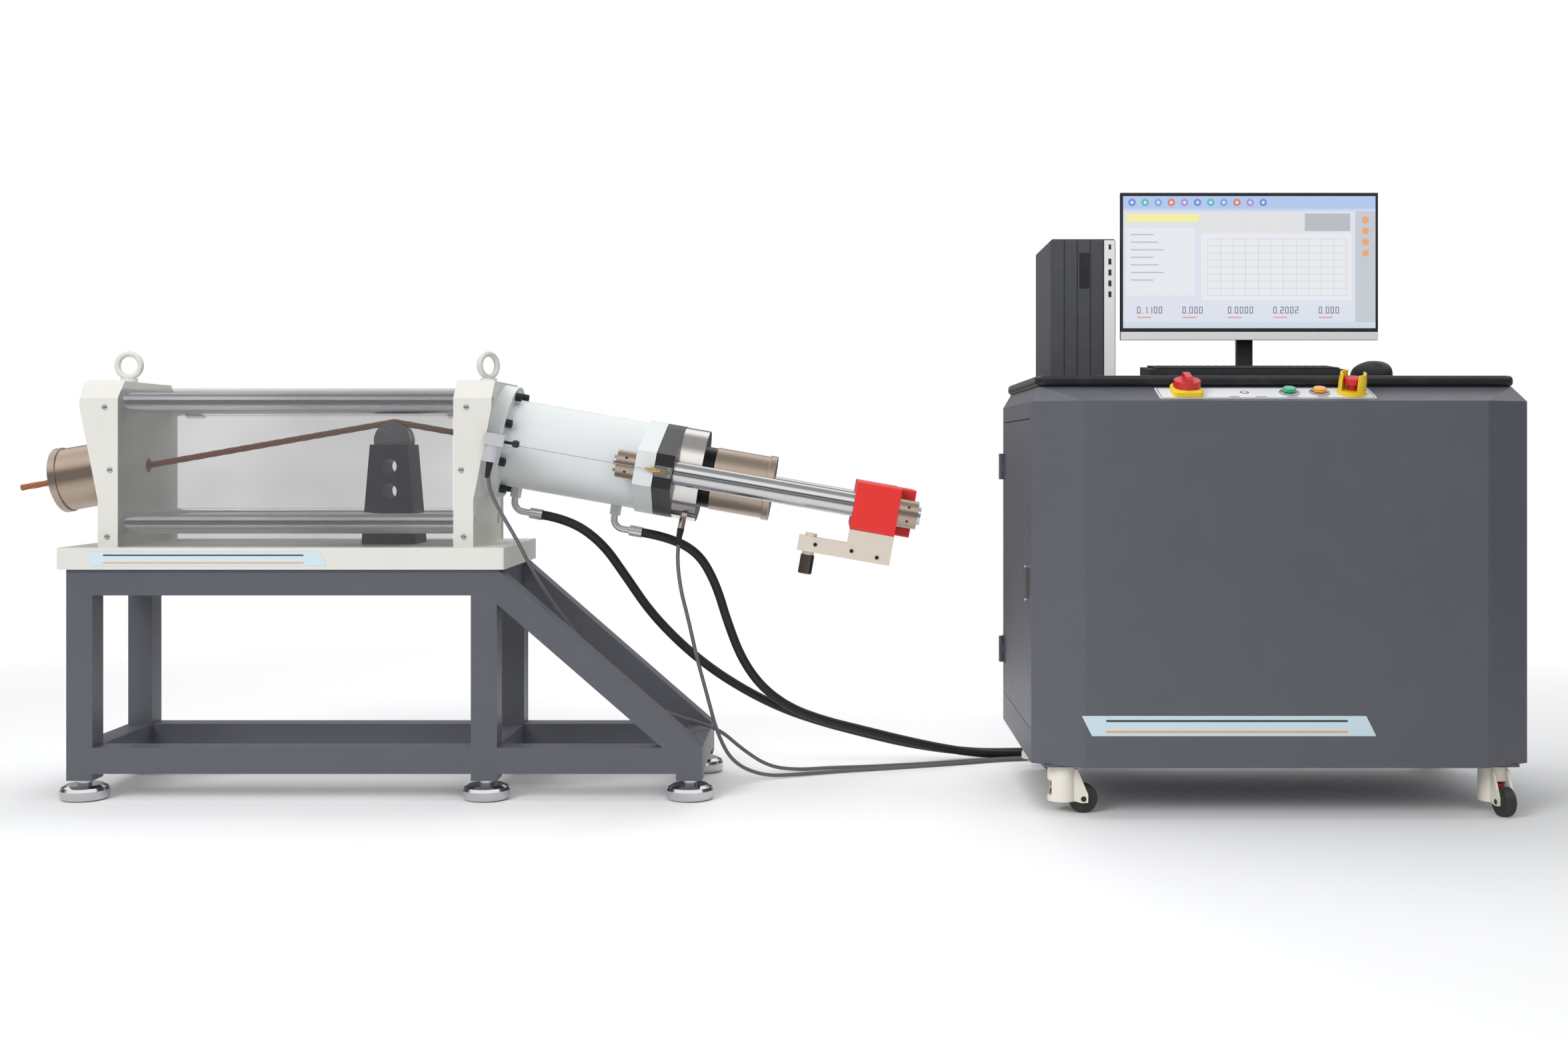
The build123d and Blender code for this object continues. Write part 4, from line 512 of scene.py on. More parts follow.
CAD_FINISH = {
    "slate": ["stand_frame", "cabinet_body", "cabinet_deck", "side_door"],
    "cream": ["base_plate", "passive_block", "active_block", "end_covers", "lifting_eyes"],
    "cool": ["cylinder_barrel", "cylinder_gland"],
    "chrome": ["levelling_feet", "guide_rods", "piston", "door_latch"],
    "cell": ["load_cell"],
    "bar": ["tie_bars"],
    "ground": ["mandrel", "passive_anchor", "active_anchor"],
    "clear": ["clear_guard"],
    "dark": ["mandrel_pedestal", "flange_bolts"],
    "bronze": ["passive_cup", "rod_nuts"],
    "cup": ["active_cup"],
    "knob": ["handle_knob"],
    "black": ["pull_plate"],
    "red": ["stop_beam"],
    "nickel": ["swing_handle"],
    "alloy": ["wire_sensor", "power_pack"],
    "fitting": ["hose_fittings"],
    "laminate": ["worktop"],
    "white": ["control_plate"],
    "yellow": ["switch_base", "estop_guard"],
    "red_plastic": ["switch_knob", "estop_button"],
    "green_lens": ["green_button"],
    "amber_lens": ["amber_button"],
    "dark_grey": ["computer_tower"],
    "case": ["monitor_head", "monitor_stand", "keyboard"],
    "caster": [f"caster_housing_{tag}" for tag in CASTERS],
    "tread": [f"caster_wheel_{tag}" for tag in CASTERS],
}


class TESTER_OT_finishes(bpy.types.Operator):
    """Gives every solid of the frame its finish"""

    bl_idname = "tester.finishes"
    bl_label = "Finishes"

    def execute(self, context):
        make_finishes(context.scene.tester_colours)
        for finish, names in CAD_FINISH.items():
            for name in names:
                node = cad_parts[name]
                node.data.materials.clear()
                node.data.materials.append(FINISHES[finish])
        return {"FINISHED"}


def strand_line():
    """Centreline of the strand: straight, an arc on the mandrel, straight; with its up direction."""
    reach = BEND_R * math.tan(SLOPE)
    left = np.linspace(STRAND_LEFT, reach, 220)
    right = np.linspace(reach, STRAND_RIGHT, 180)
    turn = np.linspace(SLOPE, -SLOPE, 14)[1:-1]
    centre = APEX - np.array([0, 0, BEND_R / COS])
    arc = centre + BEND_R * np.stack([-np.sin(turn), 0 * turn, np.cos(turn)], -1)
    line = np.concatenate([APEX + left[:, None] * LEFT_AXIS, arc, APEX + right[:, None] * RIGHT_AXIS])
    tilt = np.concatenate([np.full(len(left), SLOPE), turn, np.full(len(right), -SLOPE)])
    up = np.stack([-np.sin(tilt), 0 * tilt, np.cos(tilt)], -1)
    return line, up


class TESTER_OT_strand(bpy.types.Operator):
    """Lays six wires round a straight one: line + r (cos a up + sin a side), a growing with the travel"""

    bl_idname = "tester.strand"
    bl_label = "Strand"

    def execute(self, context):
        sizes = context.scene.tester_sizes
        line, up = strand_line()
        travel = np.concatenate([[0], np.cumsum(np.linalg.norm(np.diff(line, axis=0), axis=1))])
        ring_r = STRAND_R - sizes.wire_d / 2
        shapes = [tube(line, STRAND_R - sizes.wire_d, 8)]
        for k in range(6):
            a = 2 * math.pi * (travel / sizes.lay_length + k / 6)
            helix = line + ring_r * (np.cos(a)[:, None] * up - np.sin(a)[:, None] * FRONT)
            shapes.append(tube(helix, sizes.wire_d / 2, 10))
        points, faces = merged(shapes)
        strand = new_piece("strand_wires", points, faces, FINISHES["wire"], None, "strand_wire")
        on_cylinder(0, 0, 0)
        on_cylinder(0, 0, 0.53)
        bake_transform(strand)
        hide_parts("strand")
        return {"FINISHED"}


# Routes of the hoses and cables in millimetres: first the points measured from under the mandrel,
# then the points measured from the foot of the console's left rear corner
HOSE_ROUTES = {
    "retract_hose": (
        [
            (497, 82, 582), (551, 106, 500), (609, 134, 408), (685, 160, 324), (761, 186, 258),
            (849, 216, 198), (939, 246, 150), (1035, 278, 113),
        ],
        [
            (-364, -40, 82), (-262, -7, 52), (-160, 25, 30), (-56, 56, 15), (42, 80, 12),
            (134, 90, 12), (200, 90, 12), (248, 90, 32), (284, 90, 68), (304, 90, 116), (304, 90, 166),
        ],
    ),
    "extend_hose": (
        [
            (733, 80, 556), (773, 108, 478), (799, 132, 384), (833, 152, 290), (883, 174, 216),
            (951, 200, 162), (1035, 232, 126),
        ],
        [
            (-364, -82, 96), (-264, -48, 66), (-160, -12, 38), (-60, 22, 18), (20, 46, 12),
            (82, 54, 12), (130, 54, 12), (178, 54, 32), (214, 54, 68), (234, 54, 116), (234, 54, 166),
        ],
    ),
}
CABLE_ROUTES = {
    "sensor_cable": (
        [
            (287, -130, 670), (329, -120, 596), (361, -92, 520), (409, -44, 430), (477, 6, 330),
            (559, 44, 240), (635, 72, 176), (709, 96, 148), (779, 124, 122), (837, 156, 64),
            (899, 186, 18), (969, 212, 5), (1049, 236, 6),
        ],
        [
            (-362, -94, 4.6), (-270, -72, 5), (-180, -44, 4.6), (-84, -10, 5), (-10, 18, 4.6),
            (46, 32, 5), (90, 34, 5), (130, 34, 22), (161, 34, 53), (178, 34, 93), (178, 34, 133),
        ],
    ),
    "load_cell_cable": (
        [
            (693, 8, 480), (713, 18, 400), (731, 32, 310), (757, 46, 210), (779, 62, 120),
            (815, 80, 46), (887, 114, 8), (969, 150, 5), (1055, 190, 4.6),
        ],
        [
            (-360, -132, 5), (-274, -102, 4.6), (-180, -68, 5), (-94, -34, 4.6), (-22, -2, 5),
            (32, 14, 4.6), (74, 16, 5), (114, 16, 22), (145, 16, 53), (162, 16, 93), (162, 16, 133),
        ],
    ),
}


def route(lead, points):
    """Lead points, then the points under the machine, then the points by the console, in metres."""
    near, far = (np.asarray(part, float) / 1000 for part in points)
    return np.concatenate([np.asarray(lead), near + (APEX[0], 0, 0), far + (CONSOLE_LEFT, CONSOLE_REAR, 0)])


def spline(name, points, diameter=0.0):
    """A smooth NURBS line whose control points are the route's points."""
    curve = bpy.data.curves.new(name, "CURVE")
    curve.dimensions = "3D"
    curve.resolution_u = 8
    curve.bevel_depth = diameter / 2
    curve.bevel_resolution = 4
    curve.use_fill_caps = diameter > 0
    line = curve.splines.new("NURBS")
    line.points.add(len(points) - 1)
    line.points.foreach_set("co", np.column_stack([points, np.ones(len(points))]).ravel())
    line.order_u = 3
    line.use_endpoint_u = True
    piece = bpy.data.objects.new(name, curve)
    bpy.context.scene.collection.objects.link(piece)
    return piece


def line_of(points):
    """Points along the route's own NURBS line, and its length."""
    bare = spline("route_line", points)
    mesh = bpy.data.meshes.new_from_object(bare)
    path = np.empty(len(mesh.vertices) * 3)
    mesh.vertices.foreach_get("co", path)
    curve = bare.data
    bpy.data.objects.remove(bare)
    bpy.data.curves.remove(curve)
    bpy.data.meshes.remove(mesh)
    path = path.reshape(-1, 3)
    return path, float(np.linalg.norm(np.diff(path, axis=0), axis=1).sum())


def cell_plug():
    """End of the load cell's plug, and the direction in which it points."""
    turn = math.radians(15)
    out = -RIGHT_UP * math.cos(turn) + FRONT * math.sin(turn)
    flat = math.sqrt(CELL_R ** 2 - PLUG_R ** 2)
    return on_cylinder(0, 0, CELL_MIDDLE) + out * (flat + PLUG_L), out


class TESTER_OT_cords(bpy.types.Operator):
    """Runs the two hoses and the two signal cables to the console's back"""

    bl_idname = "tester.cords"
    bl_label = "Hoses and cables"

    def execute(self, context):
        sizes = context.scene.tester_sizes
        for station, (name, points) in zip(PORT_STATIONS, HOSE_ROUTES.items()):
            start = on_cylinder(-PORT_DROP, 0, station)
            points = route([start, start + RIGHT_AXIS * 0.066], points)
            self.run_curve(name, points, sizes.hose_d, "rubber", "stiff")
        start = on_cylinder(-0.0465, SENSOR_OUT, 0.029)
        points = route([start, start - RIGHT_UP * LEAD_OUT], CABLE_ROUTES["sensor_cable"])
        self.run_curve("sensor_cable", points, sizes.cable_d, "sleeve", "medium")
        self.boot("sensor_boot", start, -RIGHT_UP, MACHINE)

        start, out = cell_plug()
        held = start + out * LEAD_OUT
        points = route([start, held], CABLE_ROUTES["load_cell_cable"])
        path, length = line_of(points)
        shape = tube(path, sizes.cable_d / 2)
        cable = new_piece("load_cell_lead", *shape, FINISHES["sleeve"], None, "conduit")
        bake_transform(cable)
        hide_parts("load_cell_cable")
        self.boot("load_cell_boot", start, out, HEAD)
        return {"FINISHED"}

    def run_curve(self, node, points, diameter, finish, stiffness):
        """One hose or cable on the fixed parts, in place of its solid."""
        length = line_of(points)[1]
        piece = spline(node + "_run", points, diameter)
        piece.data.materials.append(FINISHES[finish])
        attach(piece, MACHINE)
        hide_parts(node)

    def boot(self, name, start, out, body):
        """Tapered strain relief with rings: radius falls from 8 to 5 mm over 40 mm."""
        h = np.linspace(-0.002, 0.038, 21)
        r = 0.0082 - 0.075 * (h + 0.002) + 0.0007 * (np.arange(21) % 2)
        profile = np.column_stack([r, h])
        new_piece(name, *capped(profile, out, start, 24), FINISHES["rubber"], body, "hose_rubber")


def screw_head(foot, out, diameter):
    """Button head turned about its axis: a rim, a dome and a sunk socket."""
    r = diameter / 2
    profile = [(r, -0.0005), (r, 0.001), (0.86 * r, 0.0028), (0.52 * r, 0.0036), (0.46 * r, 0.0036)]
    profile += [(0.42 * r, 0.0012), (0.001 * r, 0.0012)]
    return capped(profile, out, np.asarray(foot, float), 18)


class TESTER_OT_screws(bpy.types.Operator):
    """Puts domed screws on the end covers and on the handle"""

    bl_idname = "tester.screws"
    bl_label = "Screws"

    def execute(self, context):
        d = context.scene.tester_sizes.screw_d
        spots = [(0.024, 0.606), (0.018, 0.760), (0.030, 0.905)]
        shapes = []
        for side, face in ((-1, LEFT_FACE), (1, RIGHT_FACE)):
            for y, out in ((MACHINE_Y - COVER_HALF, -1), (MACHINE_Y + COVER_HALF, 1)):
                feet = [(face + side * x, y, z) for x, z in spots]
                shapes += [screw_head(foot, (0, out, 0), d) for foot in feet]
        new_piece("cover_screws", *merged(shapes), FINISHES["ground"], MACHINE, "steel")
        pins = [(-0.110, 0.945), (-0.105, 0.885), (-0.105, 0.80)]
        shapes = [screw_head(on_cylinder(up, HANDLE_FRONT, along), FRONT, 0.009) for up, along in pins]
        new_piece("handle_pins", *merged(shapes), FINISHES["dark"], "stop_beam", "dark_steel")
        return {"FINISHED"}


class TESTER_OT_wire(bpy.types.Operator):
    """Draws the travel sensor's wire and the clip that holds it on the pull plate"""

    bl_idname = "tester.wire"
    bl_label = "Measuring wire"

    def execute(self, context):
        start = on_cylinder(0, SENSOR_OUT, WIRE_START)
        end = on_cylinder(0, SENSOR_OUT, WIRE_END)
        path = start + np.linspace(0, 1, 24)[:, None] * (end - start)
        wire = new_piece("drawn_wire_line", *tube(path, 0.0008, 8), FINISHES["ground"], None, "steel")
        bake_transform(wire)
        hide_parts("measuring_wire")
        plate = slab((-0.014, 0.1832, 0.405), (0.012, CLIP_FRONT, 0.446), CYLINDER_AXES, SEAT)
        arm = slab((-0.005, CLIP_FRONT, 0.4185), (0.005, 0.2005, 0.4325), CYLINDER_AXES, SEAT)
        profile = [(0.0035, 0), (0.0035, 0.010), (0.006, 0.012), (0.006, 0.026)]
        profile += [(0.0045, 0.028), (0.0045, 0.036)]
        ferrule = capped(profile, RIGHT_AXIS, on_cylinder(0, SENSOR_OUT, 0.384), 20)
        new_piece("wire_clip", *merged([arm, ferrule]), FINISHES["brass"], HEAD, "bronze", False)
        screws = [screw_head(on_cylinder(up, CLIP_FRONT, 0.438), FRONT, 0.007) for up in (-0.009, 0.007)]
        new_piece("clip_plate", *merged([plate] + screws), FINISHES["ground"], HEAD, "steel", False)
        profile = [(0.0035, 0), (0.0035, 0.020), (0.0075, 0.020), (0.0085, 0.023)]
        profile += [(0.0085, 0.031), (0.006, 0.034)]
        plug = capped(profile, RIGHT_AXIS, on_cylinder(0.004, 0.2, 0.0555), 20)
        new_piece("sensor_thumb_screw", *plug, FINISHES["case"], MACHINE, "black_plastic")
        return {"FINISHED"}


class Sheet:
    """A flat place for print: a corner with its right, up and outward directions."""

    # Bars of the figures that the display shows
    SEGMENTS = {"0": "abcdef", "1": "bc", "2": "abged", ".": "p"}

    def __init__(self, corner, right, up, out):
        self.corner = np.asarray(corner, float)
        self.right = np.asarray(right, float)
        self.up = np.asarray(up, float)
        self.out = np.asarray(out, float)
        self.shapes = []
        self.inks = []

    def outline(self, x, z, lift, ink):
        """Adds a closed outline: corner + x right + z up + lift out."""
        points = self.corner + np.outer(x, self.right) + np.outer(z, self.up) + lift * self.out
        self.shapes.append((points, [list(range(len(points)))]))
        self.inks.append(np.tile((*ink, 1.0), (len(points), 1)))

    def bar(self, x0, x1, z0, z1, lift, ink, lean=0.0):
        """A bar, whose upper edge may lean to the side."""
        self.outline((x0, x1, x1 + lean, x0 + lean), (z0, z0, z1, z1), lift, ink)

    def dot(self, x, z, r, lift, ink):
        """A disc: x + r cos a, z + r sin a."""
        a = np.linspace(0, 2 * math.pi, 28, endpoint=False)
        self.outline(x + r * np.cos(a), z + r * np.sin(a), lift, ink)

    def figures(self, text, x, z, height, lift, ink):
        """Plain seven-bar figures, with a square point."""
        w = height * 0.5
        t = height * 0.12
        half = height / 2
        seats = {
            "a": (0, w, height - t, height), "d": (0, w, 0, t), "g": (0, w, half - t / 2, half + t / 2),
            "f": (0, t, half, height), "b": (w - t, w, half, height), "e": (0, t, 0, half),
            "c": (w - t, w, 0, half), "p": (0, t, 0, t),
        }
        for figure in text:
            for segment in self.SEGMENTS[figure]:
                x0, x1, z0, z1 = seats[segment]
                self.bar(x + x0, x + x1, z + z0, z + z1, lift, ink)
            x += height * (0.3 if figure == "." else 0.72)

    def piece(self, name, finish, body):
        """The outlines as one mesh, with their inks in a colour attribute."""
        printed_piece = new_piece(name, *merged(self.shapes), FINISHES[finish], body, "panel_white", False)
        layer = printed_piece.data.color_attributes.new("ink", "FLOAT_COLOR", "POINT")
        layer.data.foreach_set("color", np.concatenate(self.inks).astype(np.float32).ravel())


INK = (0.02, 0.025, 0.05)
ORANGE = (0.80, 0.36, 0.12)
LABEL_YELLOW = (0.80, 0.62, 0.03)


class TESTER_OT_bands(bpy.types.Operator):
    """Lays plain pale bands on the base plate's front and on the cabinet's front"""

    bl_idname = "tester.bands"
    bl_label = "Bands"

    def execute(self, context):
        pale = tuple(context.scene.tester_colours.band)
        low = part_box("base_plate")[0]
        self.band("base_band", (low[0] + 0.08, low[1], low[2] + 0.009), 0.54, 0.032, pale)
        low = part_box("cabinet_body")[0]
        self.band("cabinet_band", (CONSOLE_LEFT + 0.125, low[1], 0.182), 0.62, 0.044, pale)
        return {"FINISHED"}

    def band(self, name, corner, length, height, pale):
        """A leaning pale band with one dark and one orange line."""
        sheet = Sheet(corner, (1, 0, 0), (0, 0, 1), FRONT)
        sheet.bar(0, length, 0, height, 0.0006, pale, -height * 0.5)
        sheet.bar(0.05 * length, 0.9 * length, 0.16 * height, 0.26 * height, 0.0009, ORANGE)
        sheet.bar(0.05 * length, 0.9 * length, 0.70 * height, 0.80 * height, 0.0009, INK)
        sheet.piece(name, "print", MACHINE)


class TESTER_OT_controls(bpy.types.Operator):
    """Adds the lamp rings and the plain print of the control plate"""

    bl_idname = "tester.controls"
    bl_label = "Controls"

    def execute(self, context):
        inner, outer = 0.0150, 0.0220
        profile = [(inner, 0.0), (outer, 0.0), (outer, 0.0018), (outer - 0.0015, 0.0036)]
        profile += [(inner + 0.0015, 0.0036), (inner, 0.0020), (inner, 0.0)]
        lamps = (0.568, 0.635)
        rings = [lathe(profile, PANEL_OUT, on_panel(x, 0, PLATE_THICK), 36) for x in lamps]
        new_piece("lamp_rings", *merged(rings), FINISHES["ground"], MACHINE, "steel")

        sheet = Sheet(on_panel(0, 0, PLATE_THICK), (1, 0, 0), PANEL_BACK, PANEL_OUT)
        left, right, half, line = 0.280, 0.748, 0.036, 0.0015
        for z in (-half, half - line):
            sheet.bar(left, right, z, z + line, 0.0003, INK)
        for x in (left, right - line):
            sheet.bar(x, x + line, -half, half, 0.0003, INK)
        sheet.dot(0.341, 0, half - 0.002, 0.0004, LABEL_YELLOW)
        sheet.dot(0.706, 0, half - 0.002, 0.0004, LABEL_YELLOW)
        for x in (0.44, 0.50) + lamps:
            sheet.bar(x - 0.012, x + 0.012, -0.031, -0.0285, 0.0005, INK)
        sheet.dot(0.47, 0.004, 0.0100, 0.0004, (0.35, 0.05, 0.05))
        sheet.dot(0.47, 0.004, 0.0065, 0.0006, (0.74, 0.74, 0.74))
        sheet.piece("control_print", "print", MACHINE)
        return {"FINISHED"}


class TESTER_OT_screen(bpy.types.Operator):
    """Shows a plain test display: a bar of round keys, a grid, a list and figures"""

    bl_idname = "tester.screen"
    bl_label = "Screen"

    def execute(self, context):
        low, high = (np.array(corner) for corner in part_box("monitor_head"))
        side, chin, brow = 0.006, 0.028, 0.008
        wide = high[0] - low[0] - 2 * side
        tall = high[2] - low[2] - chin - brow
        corner = (low[0] + side, low[1], low[2] + chin)
        hundredth = wide / 100
        sheet = Sheet(corner, (hundredth, 0, 0), (0, 0, hundredth), FRONT)
        self.draw_windows(sheet, tall / hundredth)
        self.draw_marks(sheet, tall / hundredth)
        sheet.piece("screen_display", "display", "monitor_head")

        width, height = high[0] - low[0], high[2] - low[2]
        lip = slab((0, 0, -0.004), (width, 0.019, 0.0022), FACE_AXES, low, 0.0008)
        new_piece("monitor_chin", *lip, FINISHES["silver"], "monitor_head", "aluminium", False)
        corners = [
            ((0, 0.019), (width, chin)),
            ((0, height - brow), (width, height)),
            ((0, chin), (side, height - brow)),
            ((width - side, chin), (width, height - brow)),
        ]
        rim = [slab((*a, -0.002), (*b, 0.0016), FACE_AXES, low, 0.0005) for a, b in corners]
        new_piece("monitor_rim", *merged(rim), FINISHES["case"], "monitor_head", "black_plastic", False)
        return {"FINISHED"}

    def draw_windows(self, sheet, top):
        """Coloured fields of the display, in hundredths of its width."""
        fields = [
            (0, 100, 0, top, (0.76, 0.80, 0.90)),
            (0, 100, top - 5, top, (0.46, 0.60, 0.88)),
            (0, 100, top - 6, top - 5, (0.62, 0.72, 0.92)),
            (1.2, 30, top - 10.4, top - 6.9, (0.93, 0.90, 0.42)),
            (30, 72, top - 13.8, top - 6.9, (0.80, 0.80, 0.81)),
            (72, 90, top - 13.8, top - 6.9, (0.50, 0.52, 0.55)),
            (92, 100, 2.4, top - 6, (0.58, 0.62, 0.68)),
            (1.2, 28.5, 13, top - 12.5, (0.85, 0.86, 0.91)),
            (31, 90.5, 11, top - 14.6, (0.86, 0.87, 0.91)),
            (0, 100, 0, 2.4, (0.66, 0.74, 0.87)),
        ]
        for i, (x0, x1, z0, z1, ink) in enumerate(fields):
            sheet.bar(x0, x1, z0, z1, 0.0005 + 0.00005 * i, ink)

    def draw_marks(self, sheet, top):
        """Round keys, grid lines, list lines and the five read-outs."""
        blue, teal, sky = (0.16, 0.28, 0.70), (0.10, 0.50, 0.55), (0.20, 0.40, 0.78)
        key_inks = [blue, teal, sky, (0.72, 0.22, 0.18), (0.42, 0.30, 0.72)]
        for i in range(11):
            sheet.dot(3.5 + 5.2 * i, top - 2.5, 1.5, 0.0011, key_inks[i % 5])
            sheet.dot(3.5 + 5.2 * i, top - 2.5, 0.6, 0.0013, (0.80, 0.84, 0.93))
        for i in range(4):
            sheet.dot(96, top - 9.4 - 4.4 * i, 1.4, 0.0011, (0.88, 0.40, 0.16))
        grey = (0.52, 0.54, 0.62)
        floor = 13.0
        rise = (top - 17 - floor) / 8
        for i in range(9):
            sheet.bar(33.5, 88.6, floor + rise * i, floor + rise * i + 0.12, 0.0011, grey)
        for i in range(12):
            sheet.bar(33.5 + 5 * i, 33.62 + 5 * i, floor, floor + 8 * rise, 0.0011, grey)
        for i in range(7):
            z = top - 15.5 - 3 * i
            sheet.bar(3, 12 + 2 * (i % 3), z, z + 0.5, 0.0011, grey)
        for i, text in enumerate(("0.1100", "0.000", "0.0000", "0.2002", "0.000")):
            sheet.figures(text, 5.5 + 18 * i, 5.8, 2.7, 0.0012, (0.16, 0.17, 0.22))
            sheet.bar(5.5 + 18 * i, 11 + 18 * i, 4.0, 4.5, 0.0011, (0.78, 0.34, 0.30))


class TESTER_OT_computer(bpy.types.Operator):
    """Adds the pale strip with its sockets, the bay and the front slats of the computer"""

    bl_idname = "tester.computer"
    bl_label = "Computer front"

    def execute(self, context):
        low, high = (np.array(corner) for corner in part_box("computer_tower"))
        origin = np.array([0, low[1], 0])
        x1 = high[0] - 0.001
        x0 = x1 - 0.026
        foot = low[2] + 0.004
        top = high[2] - 0.003
        strip = slab((x0, foot, 0), (x1, top, 0.003), FACE_AXES, origin, 0.001)
        new_piece("computer_strip", *strip, FINISHES["silver"], MACHINE, "aluminium", False)
        middle = (x0 + x1) / 2
        sockets = [(0.205 + 0.026 * i, 0.0035, 0.007) for i in range(4)] + [(0.318, 0.003, 0.006)]
        ports = []
        for rise, w, h in sockets:
            z = low[2] + rise
            ports.append(slab((middle - w, z - h, 0.0025), (middle + w, z + h, 0.0034), FACE_AXES, origin))
        new_piece("computer_ports", *merged(ports), FINISHES["case"], MACHINE, "black_plastic", False)
        edges = np.linspace(low[0] + 0.002, x0 - 0.002, 5)
        slats = [
            slab((a + 0.001, foot, 0), (b - 0.001, top, 0.0028), FACE_AXES, origin, 0.0012)
            for a, b in zip(edges, edges[1:])
        ]
        new_piece("computer_slats", *merged(slats), FINISHES["dark_grey"], MACHINE, "black_plastic", False)
        low_corner = (edges[2] + 0.004, top - 0.115, 0.0026)
        bay = slab(low_corner, (edges[3] - 0.003, top - 0.03, 0.0036), FACE_AXES, origin, 0.0008)
        new_piece("computer_bay", *bay, FINISHES["case"], MACHINE, "black_plastic", False)
        return {"FINISHED"}


class TESTER_OT_casters(bpy.types.Operator):
    """Fits a red ring, knurled by points that stand out two by two, and a rubber pad into each caster"""

    bl_idname = "tester.casters"
    bl_label = "Caster pads"

    def execute(self, context):
        for tag, (x, y) in CASTERS.items():
            foot = np.array([x, y, 0.0])
            ring = [(0.006, 0.056), (0.0235, 0.056), (0.0255, 0.058), (0.0255, 0.065)]
            ring += [(0.0235, 0.067), (0.006, 0.067), (0.006, 0.056)]
            points, faces = lathe(ring, (0, 0, 1), foot, 48)
            knurl = 1 + 0.03 * (np.arange(len(points)) % 4 < 2)
            points[:, :2] = foot[:2] + (points[:, :2] - foot[:2]) * knurl[:, None]
            body = f"caster_{tag}"
            new_piece(f"caster_ring_{tag}", points, faces, FINISHES["red_plastic"], body, "red")
            pad = [(0.0235, 0.0415), (0.0265, 0.044), (0.0265, 0.050), (0.022, 0.0545)]
            pad += [(0.0058, 0.0555), (0.0058, 0.0725)]
            shape = capped(pad, (0, 0, 1), foot, 32)
            new_piece(f"caster_pad_{tag}", *shape, FINISHES["tread"], body, "tyre_black")
        return {"FINISHED"}


class TESTER_OT_mouse(bpy.types.Operator):
    """Shapes the mouse as a low dome with a parting groove and a scroll wheel

    Over rings v and angle u: a rounded plan, sin v wide, under a height that falls with cos v.
    """

    bl_idname = "tester.mouse"
    bl_label = "Mouse"

    def execute(self, context):
        rings, sides = 22, 72
        cos, sin = math.cos(MOUSE_TURN), math.sin(MOUSE_TURN)
        u = np.linspace(0, 2 * math.pi, sides, endpoint=False)
        v = np.linspace(0.02, 1, rings) * math.pi / 2
        vv, uu = np.meshgrid(v, u, indexing="ij")
        flat = np.sin(vv) ** 0.75
        x = 0.0325 * flat * np.sign(np.cos(uu)) * np.abs(np.cos(uu)) ** 0.8
        y = 0.0545 * flat * np.sign(np.sin(uu)) * np.abs(np.sin(uu)) ** 0.9
        z = 0.0375 * np.cos(vv) ** 0.7 * (1 - 4.0 * y * (y > 0))
        groove = 0.0012 * np.exp(-((x / 0.0011) ** 2)) * (y > 0.004)
        z = np.maximum(z - groove, 0.0)
        x, y = x * cos - y * sin, x * sin + y * cos
        points = MOUSE_AT + np.stack([x, y, z], -1).reshape(-1, 3)
        points, faces = closed(points, grid_faces(rings, sides, True), sides)
        faces = [face[::-1] for face in faces]
        body = new_piece("mouse_shell", points, faces, FINISHES["case"], MACHINE, "black_plastic")
        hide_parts("mouse")
        axle = np.array([cos, sin, 0])
        ahead = np.array([-sin, cos, 0])
        hub = MOUSE_AT + ahead * 0.026 + np.array([0, 0, 0.0262]) - axle * 0.0035
        wheel = [(0.0062, 0), (0.0078, 0.0014), (0.0078, 0.0056), (0.0062, 0.007)]
        new_piece("mouse_wheel", *capped(wheel, axle, hub, 28), FINISHES["rubber"], MACHINE, "hose_rubber")
        return {"FINISHED"}


